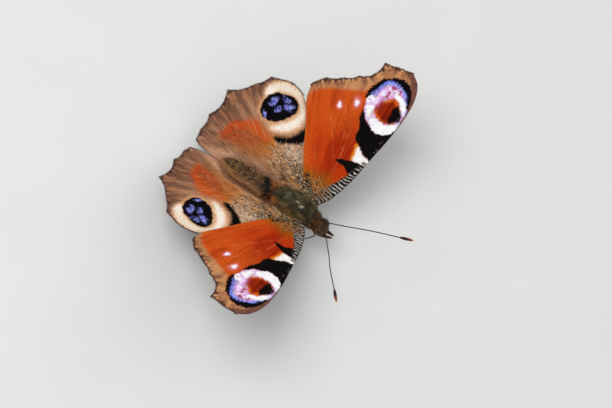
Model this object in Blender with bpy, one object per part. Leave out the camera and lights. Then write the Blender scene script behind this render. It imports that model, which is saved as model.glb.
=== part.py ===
"""A European peacock butterfly, life size, standing with its wings half open.

Sizes are in millimetres and become metres when a mesh is made. +X is the
butterfly's left, -Y is ahead of it and +Z is up. A place on the body is
(side, ahead, up) from the middle of the thorax. A place on a wing is
(out, fore) from the wing's hinge, along the wing's own tilted plane.
The coat's depth is part of the head, thorax, abdomen, palps and legs.
"""
import math

import bmesh
import bpy
from mathutils import Matrix, Vector
from mathutils.geometry import delaunay_2d_cdt

MM = 0.001
GAP = 0.3
STAND_HEIGHT = 7.5
SIDES = {"left": 1, "right": -1}

# Thorax, abdomen and head
THORAX_HALF_LENGTH = 4.95
THORAX_MIDDLE_AHEAD = 0.2
THORAX_HALF_WIDTH = 2.65
THORAX_HALF_HEIGHT = 2.85
THORAX_END_DROP = 0.55
THORAX_CUT = 0.93
THORAX_FRONT_POWER = 2.5
THORAX_BACK_POWER = 3.0
COLLAR_GROOVE_AHEAD = 3.55
SCUTELLUM_GROOVE_AHEAD = -2.7
GROOVE_DEPTH = 0.08
ABDOMEN_TIP_AHEAD = -15.1
ABDOMEN_TIP_UP = -2.15
ABDOMEN_HALF_WIDTH = 1.8
ABDOMEN_HALF_HEIGHT = 1.75
ABDOMEN_SEGMENTS = 8
HEAD_HALF_WIDTH = 0.8
HEAD_HALF_HEIGHT = 1.35
HEAD_LENGTH = 2.0
HEAD_MIDDLE_UP = -0.6
EYE_RADII = (0.6, 0.88, 1.02)
EYE_AHEAD_OF_HEAD_MIDDLE = 0.1

# Wings: hinge, tilt out and up, tilt of the leading edge up, membrane and veins
WING_THICKNESS = 0.5
WING_ROOT_THICKENING = 0.45
VEIN_HEIGHT = 0.15
VEIN_HALF_WIDTH = 0.34
VEIN_TIP_HALF_WIDTH = 0.22
GRID_STEP = 2.3
FOREWING_HINGE = (2.4, 2.0, 0.35)
FOREWING_DIHEDRAL = 27.0
FOREWING_PITCH = 9.4
HINDWING_HINGE = (2.2, -1.5, 0.25)
HINDWING_DIHEDRAL = 19.0
HINDWING_PITCH = 10.6

FOREWING_COSTA = [(0.5, 1.2), (2.4, 2.2), (7.0, 3.3), (12.0, 3.75), (17.2, 4.2), (21.5, 4.25),
                  (25.3, 3.75), (27.9, 2.45), (29.2, 0.6)]
FOREWING_TOOTH = (27.8, -4.8)
FOREWING_MARGIN = [(29.2, 0.6), (28.6, -2.1), FOREWING_TOOTH, (23.1, -7.2), (21.2, -9.3),
                   (19.5, -11.6), (16.7, -13.3)]
FOREWING_SCALLOPS = [0.1, 0.15, 0.7, 0.2, 0.2, 0.25]
FOREWING_INNER = [(16.7, -13.3), (14.3, -12.4), (10.7, -9.8), (6.4, -7.0), (3.0, -4.4), (1.5, -2.4),
                  (0.7, -0.9)]

HINDWING_COSTA = [(0.5, 0.4), (3.0, 0.3), (6.5, -0.9), (10.0, -3.2), (12.9, -6.2), (15.0, -9.6)]
HINDWING_TOOTH = (7.9, -21.4)
HINDWING_MARGIN = [(15.0, -9.6), (16.3, -13.0), (14.7, -16.2), (11.5, -18.0), HINDWING_TOOTH,
                   (2.4, -21.3), (-0.9, -20.95), (-2.7, -20.5)]
HINDWING_SCALLOPS = [-0.2, -0.1, 0.15, 0.15, 0.55, 0.2, 0.1]
HINDWING_INNER = [(-2.7, -20.5), (-3.2, -19.2), (-3.0, -16.6), (-2.3, -14.1), (-0.7, -12.0),
                  (-0.1, -9.6), (0.0, -6.0), (0.1, -3.6), (0.5, -2.0)]

# Each vein: where it starts, or the vein and share of it that it leaves, then its way out
FOREWING_VEINS = {
    "radius": [(1.3, 0.9), (6.5, 2.15), (13.0, 2.55), (20.5, 3.0), (27.2, 1.9)],
    "cubitus": [(1.3, 0.3), (6.5, -0.5), (12.0, -1.7), (17.5, -4.2), (22.6, -6.8)],
    "anal": [(1.3, -0.4), (7.8, -5.4), (12.6, -9.2), (16.4, -12.6)],
    "cell_end": [("radius", 0.5), (13.6, 0.6), ("cubitus", 0.53)],
    "radius_1": [("radius", 0.4), (13.5, 3.45), (16.6, 3.9)],
    "radius_3": [("radius", 0.68), (21.6, 3.55), (24.6, 3.5)],
    "radius_5": [("radius", 0.6), (22.0, 1.6), (28.5, 0.2)],
    "median_1": [("cell_end", 0.25), (20.0, 0.1), (27.3, -4.4)],
    "median_2": [("cell_end", 0.65), (19.0, -2.0), (24.9, -5.0)],
    "cubitus_1": [("cubitus", 0.42), (16.2, -4.9), (20.7, -8.9)],
    "cubitus_2": [("cubitus", 0.27), (12.6, -5.3), (19.0, -11.1)],
}
HINDWING_VEINS = {
    "subcosta": [(1.3, -0.2), (6.0, -2.0), (10.8, -5.2), (14.4, -9.3)],
    "radius": [(1.3, -0.8), (5.0, -4.0), (9.0, -7.0), (12.9, -9.9), (15.7, -12.8)],
    "cubitus": [(1.2, -1.4), (3.7, -6.0), (5.5, -10.3), (6.9, -15.6), (7.9, -20.7)],
    "anal": [(1.1, -2.2), (1.1, -6.0), (0.9, -10.5), (-1.2, -15.6), (-2.3, -19.8)],
    "median_1": [("radius", 0.45), (12.0, -12.0), (14.2, -15.7)],
    "median_2": [("radius", 0.36), (9.6, -12.6), (11.2, -17.4)],
    "cubitus_1": [("cubitus", 0.45), (4.5, -15.0), (2.6, -20.7)],
    "cubitus_2": [("cubitus", 0.25), (2.6, -11.0), (1.2, -16.0), (-0.6, -20.3)],
}

# Legs: share of the thorax length, angle down its flank, then knee, ankle and toe
LEGS = {
    "midleg": (0.12, -58.0, (4.7, 2.1, -2.7), (6.5, 2.5, -6.3), (9.0, 3.0, -7.28)),
    "hindleg": (-0.42, -55.0, (4.3, -4.2, -3.2), (5.6, -7.4, -6.4), (6.9, -10.6, -7.28)),
}
FEMUR_RADIUS = 0.42
TIBIA_RADIUS = 0.3
TARSUS_RADIUS = 0.26
FORELEG_ROOT = (0.8, -60)
FORELEG_POINTS = [(1.4, 5.1, -2.8), (2.7, 4.8, -3.1), (2.75, 3.5, -3.7)]

# Feelers, palps and tongue
ANTENNA_ROOT = (0.48, 6.45)
ANTENNA_STALK = 0.5
ANTENNA_RADIUS = 0.25
CLUB_RADIUS = 0.42
CLUB_START = 0.83
LEFT_ANTENNA = [(2.0, 9.4, 1.55), (3.5, 13.0, 2.6), (4.95, 16.9, 3.6), (6.3, 20.5, 4.4)]
RIGHT_ANTENNA = [(-4.5, 9.4, 2.1), (-7.6, 11.5, 3.2), (-10.1, 13.6, 4.0), (-12.5, 15.7, 4.4)]
PALP_POINTS = [(0.8, 6.2, -2.4), (0.8, 6.8, -2.45), (0.6, 7.6, -2.15), (0.38, 8.5, -1.55)]
PALP_RADII = [(0.25, 0.3), (0.28, 0.42), (0.27, 0.38), (0.1, 0.12)]
TONGUE_RADIUS = 0.25
TONGUE_TURNS = 1.55
TONGUE_OUTER = 0.95
TONGUE_INNER = 0.3


def place(side, ahead, up):
    """A body place in millimetres as a point of the model, in metres."""
    return Vector((side, -ahead, up + STAND_HEIGHT)) * MM


def smooth_path(points, steps):
    """Points along a Catmull-Rom curve through the given points."""
    points = [Vector(point) for point in points]
    padded = [2 * points[0] - points[1]] + points + [2 * points[-1] - points[-2]]
    path = []
    for index in range(1, len(padded) - 2):
        before, start, end, after = padded[index - 1:index + 3]
        for step in range(steps):
            t = step / steps
            slope_part = (end - before) * t + (2 * before - 5 * start + 4 * end - after) * t * t
            path.append(start + 0.5 * (slope_part + (3 * start - before - 3 * end + after) * t ** 3))
    path.append(points[-1])
    return path


def superellipse(half_width, half_height, angle, power):
    """A point on a rounded section, at an angle from its side."""
    cosine, sine = math.cos(angle), math.sin(angle)
    across = math.copysign(abs(cosine) ** (2 / power), cosine) * half_width
    upward = math.copysign(abs(sine) ** (2 / power), sine) * half_height
    return across, upward


def make_material(name, colour, roughness):
    """A Principled material with the part's colour."""
    material = bpy.data.materials.new(name)
    material.use_nodes = True
    shader = material.node_tree.nodes["Principled BSDF"]
    shader.inputs["Base Color"].default_value = (*colour, 1.0)
    shader.inputs["Roughness"].default_value = roughness
    shader.inputs["Metallic"].default_value = 0.0
    return material


def add_object(name, points, faces, material, sharp_angle=40.0):
    """One closed object from body places and faces, with its faces out."""
    mesh = bpy.data.meshes.new(name)
    mesh.from_pydata([place(*point) for point in points], [], faces)
    model = bmesh.new()
    model.from_mesh(mesh)
    bmesh.ops.recalc_face_normals(model, faces=model.faces)
    model.to_mesh(mesh)
    model.free()
    mesh.materials.append(material)
    mesh.shade_smooth()
    mesh.set_sharp_from_angle(angle=math.radians(sharp_angle))
    item = bpy.data.objects.new(name, mesh)
    bpy.context.collection.objects.link(item)
    return item


def loft_faces(rings, sides):
    """Faces of a closed form made of like rings, with both ends flat."""
    faces = [tuple(range(sides)), tuple(range((rings - 1) * sides, rings * sides))]
    for ring in range(rings - 1):
        for side in range(sides):
            turn = (side + 1) % sides
            first = ring * sides
            faces.append((first + side, first + turn, first + sides + turn, first + sides + side))
    return faces


def tube(path, radii, sides, reference, start_normal=None, end_normal=None):
    """Rings round a path, each (across, upright) in radius, with ends cut on given planes."""
    rings = []
    count = len(path)
    for index, centre in enumerate(path):
        tangent = (path[min(index + 1, count - 1)] - path[max(index - 1, 0)]).normalized()
        across = tangent.cross(Vector(reference)).normalized()
        upright = across.cross(tangent).normalized()
        cut = start_normal if index == 0 else end_normal if index == count - 1 else None
        for side in range(sides):
            angle = 2 * math.pi * (side + 0.5) / sides
            offset = across * (math.cos(angle) * radii[index][0])
            offset += upright * (math.sin(angle) * radii[index][1])
            if cut:
                offset -= tangent * (offset.dot(cut) / tangent.dot(cut))
            rings.append(centre + offset)
    return rings


def thorax_section(share):
    """Half width, half height and middle height of the thorax at -1 (back) to 1 (front)."""
    ahead = THORAX_MIDDLE_AHEAD + share * THORAX_HALF_LENGTH
    swell = (1 - abs(share) ** (THORAX_FRONT_POWER if share > 0 else THORAX_BACK_POWER)) ** (1 / 2.2)
    for groove in (COLLAR_GROOVE_AHEAD, SCUTELLUM_GROOVE_AHEAD):
        swell *= 1 - GROOVE_DEPTH * math.exp(-((ahead - groove) / 0.4) ** 2)
    middle = -THORAX_END_DROP * share * share
    return THORAX_HALF_WIDTH * swell, THORAX_HALF_HEIGHT * swell, middle


def thorax_point(share, degrees):
    """A body place on the thorax at an angle up from its left flank."""
    width, height, middle = thorax_section(share)
    across, upward = superellipse(width, height, math.radians(degrees), 2.2)
    return Vector((across, THORAX_MIDDLE_AHEAD + share * THORAX_HALF_LENGTH, middle + upward))


def thorax_normal(share, degrees):
    """The direction straight out of the thorax there."""
    along = thorax_point(share + 0.01, degrees) - thorax_point(share - 0.01, degrees)
    around = thorax_point(share, degrees + 1) - thorax_point(share, degrees - 1)
    return along.cross(around).normalized()


def thorax_side(ahead, up):
    """How far out the thorax reaches at a place along and up it."""
    share = (ahead - THORAX_MIDDLE_AHEAD) / THORAX_HALF_LENGTH
    width, height, middle = thorax_section(share)
    level = min(abs(up - middle) / height, 1.0)
    return width * (1 - level ** 2.2) ** (1 / 2.2)


def make_thorax(material):
    """The thorax, with the grooves behind its collar and before its scutellum."""
    rings, sides = 25, 28
    points = []
    for ring in range(rings):
        share = THORAX_CUT * math.sin(math.pi * (ring / (rings - 1) - 0.5))
        for side in range(sides):
            points.append(thorax_point(share, 360 * (side + 0.5) / sides))
    return add_object("thorax", points, loft_faces(rings, sides), material)


def thorax_end(direction):
    """The middle of the thorax's flat front (1) or back (-1) face."""
    share = THORAX_CUT * direction
    middle = thorax_section(share)[2]
    return Vector((0, THORAX_MIDDLE_AHEAD + share * THORAX_HALF_LENGTH, middle))


def abdomen_section(share):
    """Middle, half width and half height of the abdomen at 0 (waist) to 1 (tip)."""
    start = thorax_end(-1) - Vector((0, GAP, 0))
    tip = Vector((0, ABDOMEN_TIP_AHEAD, ABDOMEN_TIP_UP))
    middle = start.lerp(tip, share) - Vector((0, 0, 0.35)) * math.sin(math.pi * share)
    swell = 0.68 + 0.32 * math.sin(math.pi * min(share / 0.85, 1.0) / 1.5)
    swell *= (1 - share ** 4.5) ** 0.5
    step = (share * ABDOMEN_SEGMENTS) % 1.0
    swell *= 0.975 + 0.05 * step
    return middle, ABDOMEN_HALF_WIDTH * swell, ABDOMEN_HALF_HEIGHT * swell


def make_abdomen(material):
    """The abdomen, each segment stepping out over the next one's front edge."""
    sides = 24
    shares = [0.0]
    for segment in range(ABDOMEN_SEGMENTS):
        shares += [(segment + step) / ABDOMEN_SEGMENTS for step in (0.08, 0.55, 0.97)]
    shares[-1] = 0.985
    points = []
    for share in shares:
        middle, width, height = abdomen_section(share)
        for side in range(sides):
            across, upward = superellipse(width, height, 2 * math.pi * (side + 0.5) / sides, 2.1)
            points.append(middle + Vector((across, 0, upward)))
    return add_object("abdomen", points, loft_faces(len(shares), sides), material)


def head_section(share):
    """Place along, half width, half height and middle height of the head at 0 to 1."""
    ahead = thorax_end(1).y + GAP + share * HEAD_LENGTH
    lean = 2 * share - 1
    swell = (1 - abs(lean) ** 2.6 * 0.9) ** 0.5
    middle = HEAD_MIDDLE_UP - 0.15 * share
    return ahead, HEAD_HALF_WIDTH * swell, HEAD_HALF_HEIGHT * swell, middle


def head_crown(side, ahead):
    """A body place on top of the head, at a place across and along it."""
    share = (ahead - thorax_end(1).y - GAP) / HEAD_LENGTH
    width, height, middle = head_section(share)[1:]
    return Vector((side, ahead, middle + height * (1 - (abs(side) / width) ** 2.8) ** (1 / 2.8)))


def head_crown_normal(side, ahead):
    """The direction straight out of the head's crown there."""
    step = 0.02
    across = head_crown(side + step, ahead) - head_crown(side - step, ahead)
    along = head_crown(side, ahead + step) - head_crown(side, ahead - step)
    return across.cross(along).normalized()


def make_head(material):
    """The head between the eyes, flat sided where they sit."""
    rings, sides = 13, 24
    points = []
    for ring in range(rings):
        share = 0.5 + 0.5 * math.sin(math.pi * (ring / (rings - 1) - 0.5))
        ahead, width, height, middle = head_section(share)
        for side in range(sides):
            across, upward = superellipse(width, height, 2 * math.pi * (side + 0.5) / sides, 2.8)
            points.append((across, ahead, middle + upward))
    return add_object("head", points, loft_faces(rings, sides), material)


def make_eye(label, sign, material):
    """A domed eye with a flat inner face, a gap away from the side of the head."""
    rings, sides = 9, 24
    ahead, _, _, middle = head_section(0.5)
    points = []
    for ring in range(rings):
        rise = math.radians(85) * ring / (rings - 1)
        outward = HEAD_HALF_WIDTH + GAP + EYE_RADII[0] * math.sin(rise)
        for side in range(sides):
            angle = 2 * math.pi * side / sides
            along = EYE_RADII[1] * math.cos(rise) * math.cos(angle)
            upward = EYE_RADII[2] * math.cos(rise) * math.sin(angle)
            points.append((sign * outward, ahead + EYE_AHEAD_OF_HEAD_MIDDLE + along, middle + upward))
    return add_object("eye_" + label, points, loft_faces(rings, sides), material)


def mirrored(points, sign):
    """Body places moved to the given side."""
    return [Vector((point[0] * sign, point[1], point[2])) for point in points]


def make_palp(label, sign, material):
    """A labial palp, from under the head forward and up before the face."""
    path = smooth_path(mirrored(PALP_POINTS, sign), 4)
    radii = smooth_path([(*pair, 0) for pair in PALP_RADII], 4)
    points = tube(path, [(pair[0], pair[1]) for pair in radii], 12, (0, 0, 1))
    return add_object("palp_" + label, points, loft_faces(len(path), 12), material)


def make_tongue(material):
    """The coiled proboscis, hanging under the head between the palps."""
    steps, sides = 30, 8
    ahead, _, height, middle = head_section(0.4)
    top = middle - height - GAP
    centre = Vector((0, ahead, top - TONGUE_OUTER - TONGUE_RADIUS))
    path = [Vector((0, ahead + TONGUE_OUTER * 0.35, top))]
    for step in range(steps):
        share = step / (steps - 1)
        turn = math.radians(55) - 2 * math.pi * TONGUE_TURNS * share
        reach = TONGUE_OUTER + (TONGUE_INNER - TONGUE_OUTER) * share
        path.append(centre + Vector((0, math.cos(turn), math.sin(turn))) * reach)
    radii = [(TONGUE_RADIUS * (1 - 0.25 * index / steps),) * 2 for index in range(steps + 1)]
    points = tube(path, radii, sides, (1, 0, 0), Vector((0, 0, 1)))
    return add_object("proboscis", points, loft_faces(len(path), sides), material)


def make_antenna(label, sign, way, material):
    """A feeler: a thin shaft and a club that swells and ends in a blunt tip."""
    side, ahead = ANTENNA_ROOT
    outward = head_crown_normal(side * sign, ahead)
    root = head_crown(side * sign, ahead) + outward * GAP
    path = [root] + smooth_path([root + outward * ANTENNA_STALK] + way, 6)
    radii = []
    for index in range(len(path)):
        share = index / (len(path) - 1)
        swell = max(0.0, (share - CLUB_START) / (1 - CLUB_START))
        radius = ANTENNA_RADIUS + (CLUB_RADIUS - ANTENNA_RADIUS) * math.sin(math.pi * swell ** 0.7) ** 0.7
        if index == len(path) - 1:
            radius *= 0.55
        radii.append((radius, radius))
    points = tube(path, radii, 8, (0, 0.3, 1), outward)
    return add_object("antenna_" + label, points, loft_faces(len(path), 8), material)


def limb(name, path, radii, reference, start_normal, end_normal, material):
    """A leg's segment as a tube of eight sides, with nothing under the floor."""
    points = tube(path, [(radius, radius) for radius in radii], 8, reference, start_normal, end_normal)
    for point in points:
        point.z = max(point.z, -STAND_HEIGHT)
    return add_object(name, points, loft_faces(len(path), 8), material)


def make_leg(leg, label, sign, material):
    """Femur, tibia and tarsus, each cut on the plane that halves the bend where they meet."""
    share, angle, knee, ankle, toe = LEGS[leg]
    outward = thorax_normal(share, angle)
    root = thorax_point(share, angle) + outward * GAP
    root, outward, knee, ankle, toe = mirrored((root, outward, knee, ankle, toe), sign)
    femur_way = (knee - root).normalized()
    tibia_way = (ankle - knee).normalized()
    heel = Vector((*(ankle.lerp(toe, 0.4).xy), toe.z))
    tarsus_way = (heel - ankle).normalized()
    knee_cut = (femur_way + tibia_way).normalized()
    ankle_cut = (tibia_way + tarsus_way).normalized()
    half = GAP / 2
    end = knee - femur_way * (half / femur_way.dot(knee_cut))
    path = [root.lerp(end, part) for part in (0, 0.3, 0.65, 1)]
    radii = [FEMUR_RADIUS * part for part in (0.8, 1, 0.9, 0.72)]
    limb(leg + "_femur_" + label, path, radii, (0, 1, 0), outward, knee_cut, material)
    start = knee + tibia_way * (half / tibia_way.dot(knee_cut))
    end = ankle - tibia_way * (half / tibia_way.dot(ankle_cut))
    path = [start.lerp(end, part) for part in (0, 0.4, 0.8, 1)]
    radii = [TIBIA_RADIUS * part for part in (1, 1, 0.95, 0.87)]
    limb(leg + "_tibia_" + label, path, radii, (0, 1, 0), knee_cut, ankle_cut, material)
    start = ankle + tarsus_way * (half / tarsus_way.dot(ankle_cut))
    path = smooth_path([start, heel, heel.lerp(toe, 0.5), toe], 3)
    radii = [TARSUS_RADIUS] * (len(path) - 1) + [TARSUS_RADIUS * 0.8]
    limb(leg + "_tarsus_" + label, path, radii, (0, 0, 1), ankle_cut, None, material)


def make_foreleg(label, sign, material):
    """The small brush-like foreleg, folded against the front of the thorax."""
    outward = thorax_normal(*FORELEG_ROOT)
    root = thorax_point(*FORELEG_ROOT) + outward * GAP
    outward = mirrored([outward], sign)[0]
    path = smooth_path(mirrored([root] + FORELEG_POINTS, sign), 3)
    count = len(path)
    radii = [0.26 + 0.1 * math.sin(math.pi * index / (count - 1)) for index in range(count)]
    limb("foreleg_" + label, path, radii, (0.3, 0.2, 1), outward, None, material)


def forewing_bend(out, fore):
    """Height of the forewing over its plane: arched, with its hind edge drooping outward."""
    reach = out / 14
    return 0.525 * (reach - reach * reach) + 0.0051 * out * fore + 0.00026 * fore * fore


def hindwing_bend(out, fore):
    """Height of the hindwing: tucked under the forewing, folded down beside the abdomen."""
    tuck = max(0.0, fore + 9.5 + 0.4 * max(0.0, out - 8.0))
    height = -0.015 * tuck * tuck
    ease = min(max((-fore - 9.0) / 6.0, 0.0), 1.0)
    ease = ease * ease * (3 - 2 * ease)
    fold_out = 1.1 - 2.0 * ease
    strength = 0.75 - 0.55 * ease
    strength *= min(1.0, max(0.0, -fore - 1.0) / 3.0)
    inside = max(0.0, fold_out - out)
    return height - strength * inside * inside


class Wing:
    """A wing's plane and bend, which turn (out, fore) into body places."""

    def __init__(self, hinge, dihedral, pitch, bend, outline, costa_count, vein_paths):
        tilt_out = Matrix.Rotation(math.radians(-dihedral), 3, "Y")
        tilt_fore = Matrix.Rotation(math.radians(pitch), 3, "X")
        self.hinge = Vector(hinge)
        self.turn = tilt_out @ tilt_fore
        self.bend = bend
        self.outline = self.clear_of_thorax(outline)
        self.veins = vein_paths
        self.costa = self.outline[:costa_count]

    def surface(self, out, fore):
        """The middle of the membrane."""
        return self.hinge + self.turn @ Vector((out, fore, self.bend(out, fore)))

    def normal(self, out, fore):
        """The upward normal of the membrane."""
        step = 0.05
        along = self.surface(out + step, fore) - self.surface(out - step, fore)
        across = self.surface(out, fore + step) - self.surface(out, fore - step)
        return along.cross(across).normalized()

    def clear_of_thorax(self, outline):
        """The outline with its root moved out to a gap from the thorax."""
        moved = []
        for out, fore in outline:
            for layer in (-1, 1):
                half = (WING_THICKNESS + WING_ROOT_THICKENING) / 2 + VEIN_HEIGHT
                point = self.surface(out, fore) + self.normal(out, fore) * half * layer
                share = abs(point.y - THORAX_MIDDLE_AHEAD) / THORAX_HALF_LENGTH
                if share < THORAX_CUT:
                    lack = thorax_side(point.y, point.z) + GAP - point.x
                    out += max(0.0, lack) / self.turn[0][0]
            moved.append((out, fore))
        return moved


def resampled(path, spacing):
    """A flat path again, with points about the spacing apart."""
    path = [Vector(point).to_2d() for point in path]
    lengths = [0.0]
    for before, after in zip(path, path[1:]):
        lengths.append(lengths[-1] + (after - before).length)
    count = max(2, round(lengths[-1] / spacing))
    result, index = [], 0
    for step in range(count + 1):
        goal = lengths[-1] * step / count
        while index < len(lengths) - 2 and lengths[index + 1] < goal:
            index += 1
        span = lengths[index + 1] - lengths[index]
        result.append(path[index].lerp(path[index + 1], (goal - lengths[index]) / span))
    return result


def vein_paths(veins):
    """Each vein's middle line, with branches starting on a point of their stem."""
    paths = {}
    for name, way in veins.items():
        points = []
        for stop in way:
            if isinstance(stop[0], str):
                stem = paths[stop[0]]
                stop = stem[round(stop[1] * (len(stem) - 1))]
            points.append(Vector((stop[0], stop[1], 0)))
        paths[name] = resampled(smooth_path(points, 6), 1.7)
    return paths


def scalloped(ends, depths):
    """A margin whose stretches between vein ends are each drawn in by a depth."""
    points = []
    for start, end, depth in zip(ends, ends[1:], depths):
        start, end = Vector(start), Vector(end)
        inward = Vector((-(end - start).y, (end - start).x)).normalized()
        for step in range(5):
            share = step / 5
            dip = depth * math.sin(math.pi * share) ** 0.8 if step else 0.0
            points.append(tuple(start.lerp(end, share) - inward * dip))
    return points + [tuple(ends[-1])]


def wing_outline(costa, margin, scallops, inner):
    """The whole outline: out along the costa, down the margin, and back."""
    front = [tuple(point) for point in resampled(smooth_path([(*p, 0) for p in costa], 6), 1.1)]
    rear = [tuple(point) for point in resampled(smooth_path([(*p, 0) for p in inner], 6), 1.2)]
    outline = front[:-1] + scalloped(margin, scallops)[:-1] + rear
    return outline, len(front)


def distance_to_path(point, path):
    """The distance to a path, and the share of the path at the nearest place."""
    best, where = 1e9, 0.0
    for index in range(len(path) - 1):
        span = path[index + 1] - path[index]
        share = min(1.0, max(0.0, (point - path[index]).dot(span) / span.length_squared))
        gap = (path[index] + span * share - point).length
        if gap < best:
            best, where = gap, (index + share) / (len(path) - 1)
    return best, where


def vein_half_width(share):
    """Half the width of a vein's ridge at a share of its length."""
    return VEIN_HALF_WIDTH + (VEIN_TIP_HALF_WIDTH - VEIN_HALF_WIDTH) * share


def ridge_height(wing, out, fore):
    """How far the veins raise each face at a place."""
    point = Vector((out, fore))
    height = 0.0
    for path in wing.veins.values():
        gap, share = distance_to_path(point, path)
        rise = VEIN_HEIGHT * (1 - 0.35 * share)
        height = max(height, rise * (1 - gap / vein_half_width(share)))
    costa = [Vector(place_out) for place_out in wing.costa]
    gap, share = distance_to_path(point, costa)
    return max(height, VEIN_HEIGHT * 1.1 * (1 - 0.8 * share) * (1 - gap / 0.55))


def inside_outline(point, outline):
    """Whether a flat point is inside a closed outline."""
    inside = False
    for start, end in zip(outline, outline[1:] + outline[:1]):
        if (start[1] > point.y) != (end[1] > point.y):
            crossing = start[0] + (point.y - start[1]) * (end[0] - start[0]) / (end[1] - start[1])
            if crossing > point.x:
                inside = not inside
    return inside


def edge_lines(wing):
    """The feet of the vein ridges, as short lines clear of other veins and of the outline."""
    rim = [Vector(point) for point in wing.outline + wing.outline[:1]]
    lines = []
    for name, path in wing.veins.items():
        others = [other for label, other in wing.veins.items() if label != name]
        for sign in (-1, 1):
            line = []
            for index, point in enumerate(path):
                span = path[min(index + 1, len(path) - 1)] - path[max(index - 1, 0)]
                width = vein_half_width(index / (len(path) - 1))
                foot = point + Vector((-span.y, span.x)).normalized() * width * sign
                clear = distance_to_path(foot, rim)[0] > 0.3 and inside_outline(foot, wing.outline)
                clear = clear and all(distance_to_path(foot, other)[0] > 0.6 for other in others)
                if clear:
                    line.append(foot)
                elif line:
                    lines.append(line)
                    line = []
            if line:
                lines.append(line)
    return lines


def flat_triangles(wing):
    """The wing's outline, veins and a loose grid, joined into flat triangles."""
    points = [Vector(point) for point in wing.outline]
    count = len(points)
    edges = [(index, (index + 1) % count) for index in range(count)]
    for line in list(wing.veins.values()) + edge_lines(wing):
        first = len(points)
        points += line
        edges += [(first + index, first + index + 1) for index in range(len(line) - 1)]
    rim = [Vector(point) for point in wing.outline + wing.outline[:1]]
    lows = [min(point[axis] for point in wing.outline) for axis in (0, 1)]
    highs = [max(point[axis] for point in wing.outline) for axis in (0, 1)]
    rows = int((highs[1] - lows[1]) / GRID_STEP) + 1
    columns = int((highs[0] - lows[0]) / GRID_STEP) + 1
    for row in range(rows):
        for column in range(columns):
            shift = 0.5 if row % 2 else 0.0
            point = Vector((lows[0] + GRID_STEP * (column + shift), lows[1] + GRID_STEP * row))
            if not inside_outline(point, wing.outline) or distance_to_path(point, rim)[0] < 0.8:
                continue
            if all(distance_to_path(point, path)[0] > 0.9 for path in wing.veins.values()):
                points.append(point)
    result = delaunay_2d_cdt(points, edges, [tuple(range(count))], 1, 1e-5)
    return result[0], [tuple(face) for face in result[2]]


def make_wing(name, wing, sign, material):
    """A wing: the same triangles on both faces, joined round the rim."""
    flat, triangles = flat_triangles(wing)
    points = []
    for layer in (1, -1):
        for spot in flat:
            out, fore = spot
            root_share = math.exp(-max(0.0, out - 0.6) / 1.1)
            half = (WING_THICKNESS + WING_ROOT_THICKENING * root_share) / 2
            half += ridge_height(wing, out, fore)
            point = wing.surface(out, fore) + wing.normal(out, fore) * half * layer
            points.append((point.x * sign, point.y, point.z))
    count = len(flat)
    faces = list(triangles)
    faces += [(a + count, c + count, b + count) for a, b, c in triangles]
    sides = {}
    for a, b, c in triangles:
        for edge in ((a, b), (b, c), (c, a)):
            sides[edge] = True
    for start, end in sides:
        if (end, start) not in sides:
            faces.append((start, start + count, end))
            faces.append((end, start + count, end + count))
    return add_object(name, points, faces, material, 30.0)


def forewing():
    """The forewing's form."""
    outline, costa = wing_outline(FOREWING_COSTA, FOREWING_MARGIN, FOREWING_SCALLOPS, FOREWING_INNER)
    return Wing(FOREWING_HINGE, FOREWING_DIHEDRAL, FOREWING_PITCH, forewing_bend, outline, costa,
                vein_paths(FOREWING_VEINS))


def hindwing():
    """The hindwing's form."""
    outline, costa = wing_outline(HINDWING_COSTA, HINDWING_MARGIN, HINDWING_SCALLOPS, HINDWING_INNER)
    return Wing(HINDWING_HINGE, HINDWING_DIHEDRAL, HINDWING_PITCH, hindwing_bend, outline, costa,
                vein_paths(HINDWING_VEINS))


def centre_on_floor():
    """Move the model so that the middle of its box is over the origin."""
    objects = [item for item in bpy.context.collection.objects if item.type == "MESH"]
    corners = [vertex.co for item in objects for vertex in item.data.vertices]
    lows = [min(corner[axis] for corner in corners) for axis in range(3)]
    highs = [max(corner[axis] for corner in corners) for axis in range(3)]
    shift = Vector((-(lows[0] + highs[0]) / 2, -(lows[1] + highs[1]) / 2, -lows[2]))
    for item in objects:
        item.data.transform(Matrix.Translation(shift))


def main():
    """Clear the scene and build every part."""
    for item in list(bpy.data.objects):
        bpy.data.objects.remove(item, do_unlink=True)
    fur = make_material("fur", (0.045, 0.032, 0.018), 0.85)
    chitin = make_material("chitin", (0.03, 0.018, 0.01), 0.5)
    eye = make_material("eye", (0.02, 0.008, 0.005), 0.25)
    wing_scales = make_material("wing_scales", (0.42, 0.055, 0.012), 0.7)
    hindwing_scales = make_material("hindwing_scales", (0.2, 0.1, 0.06), 0.75)
    make_thorax(fur)
    make_abdomen(fur)
    make_head(fur)
    make_tongue(chitin)
    front, back = forewing(), hindwing()
    for label, sign in SIDES.items():
        make_eye(label, sign, eye)
        make_palp(label, sign, fur)
        make_antenna(label, sign, LEFT_ANTENNA if sign > 0 else RIGHT_ANTENNA, chitin)
        make_wing("forewing_" + label, front, sign, wing_scales)
        make_wing("hindwing_" + label, back, sign, hindwing_scales)
        make_foreleg(label, sign, fur)
        for leg in LEGS:
            make_leg(leg, label, sign, chitin)
    centre_on_floor()


main()
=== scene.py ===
"""The looks of a life-size European peacock butterfly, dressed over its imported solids.

Sizes are in millimetres and become metres when a mesh is made. A place on the body is
(side, ahead, up) from a point just behind the thorax's middle, with side to the butterfly's left.
A place on a wing is (out, fore) from the wing's hinge, along the wing's own tilted plane.
"""
import math

import bpy
import numpy as np
from mathutils import Matrix, Vector


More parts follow.
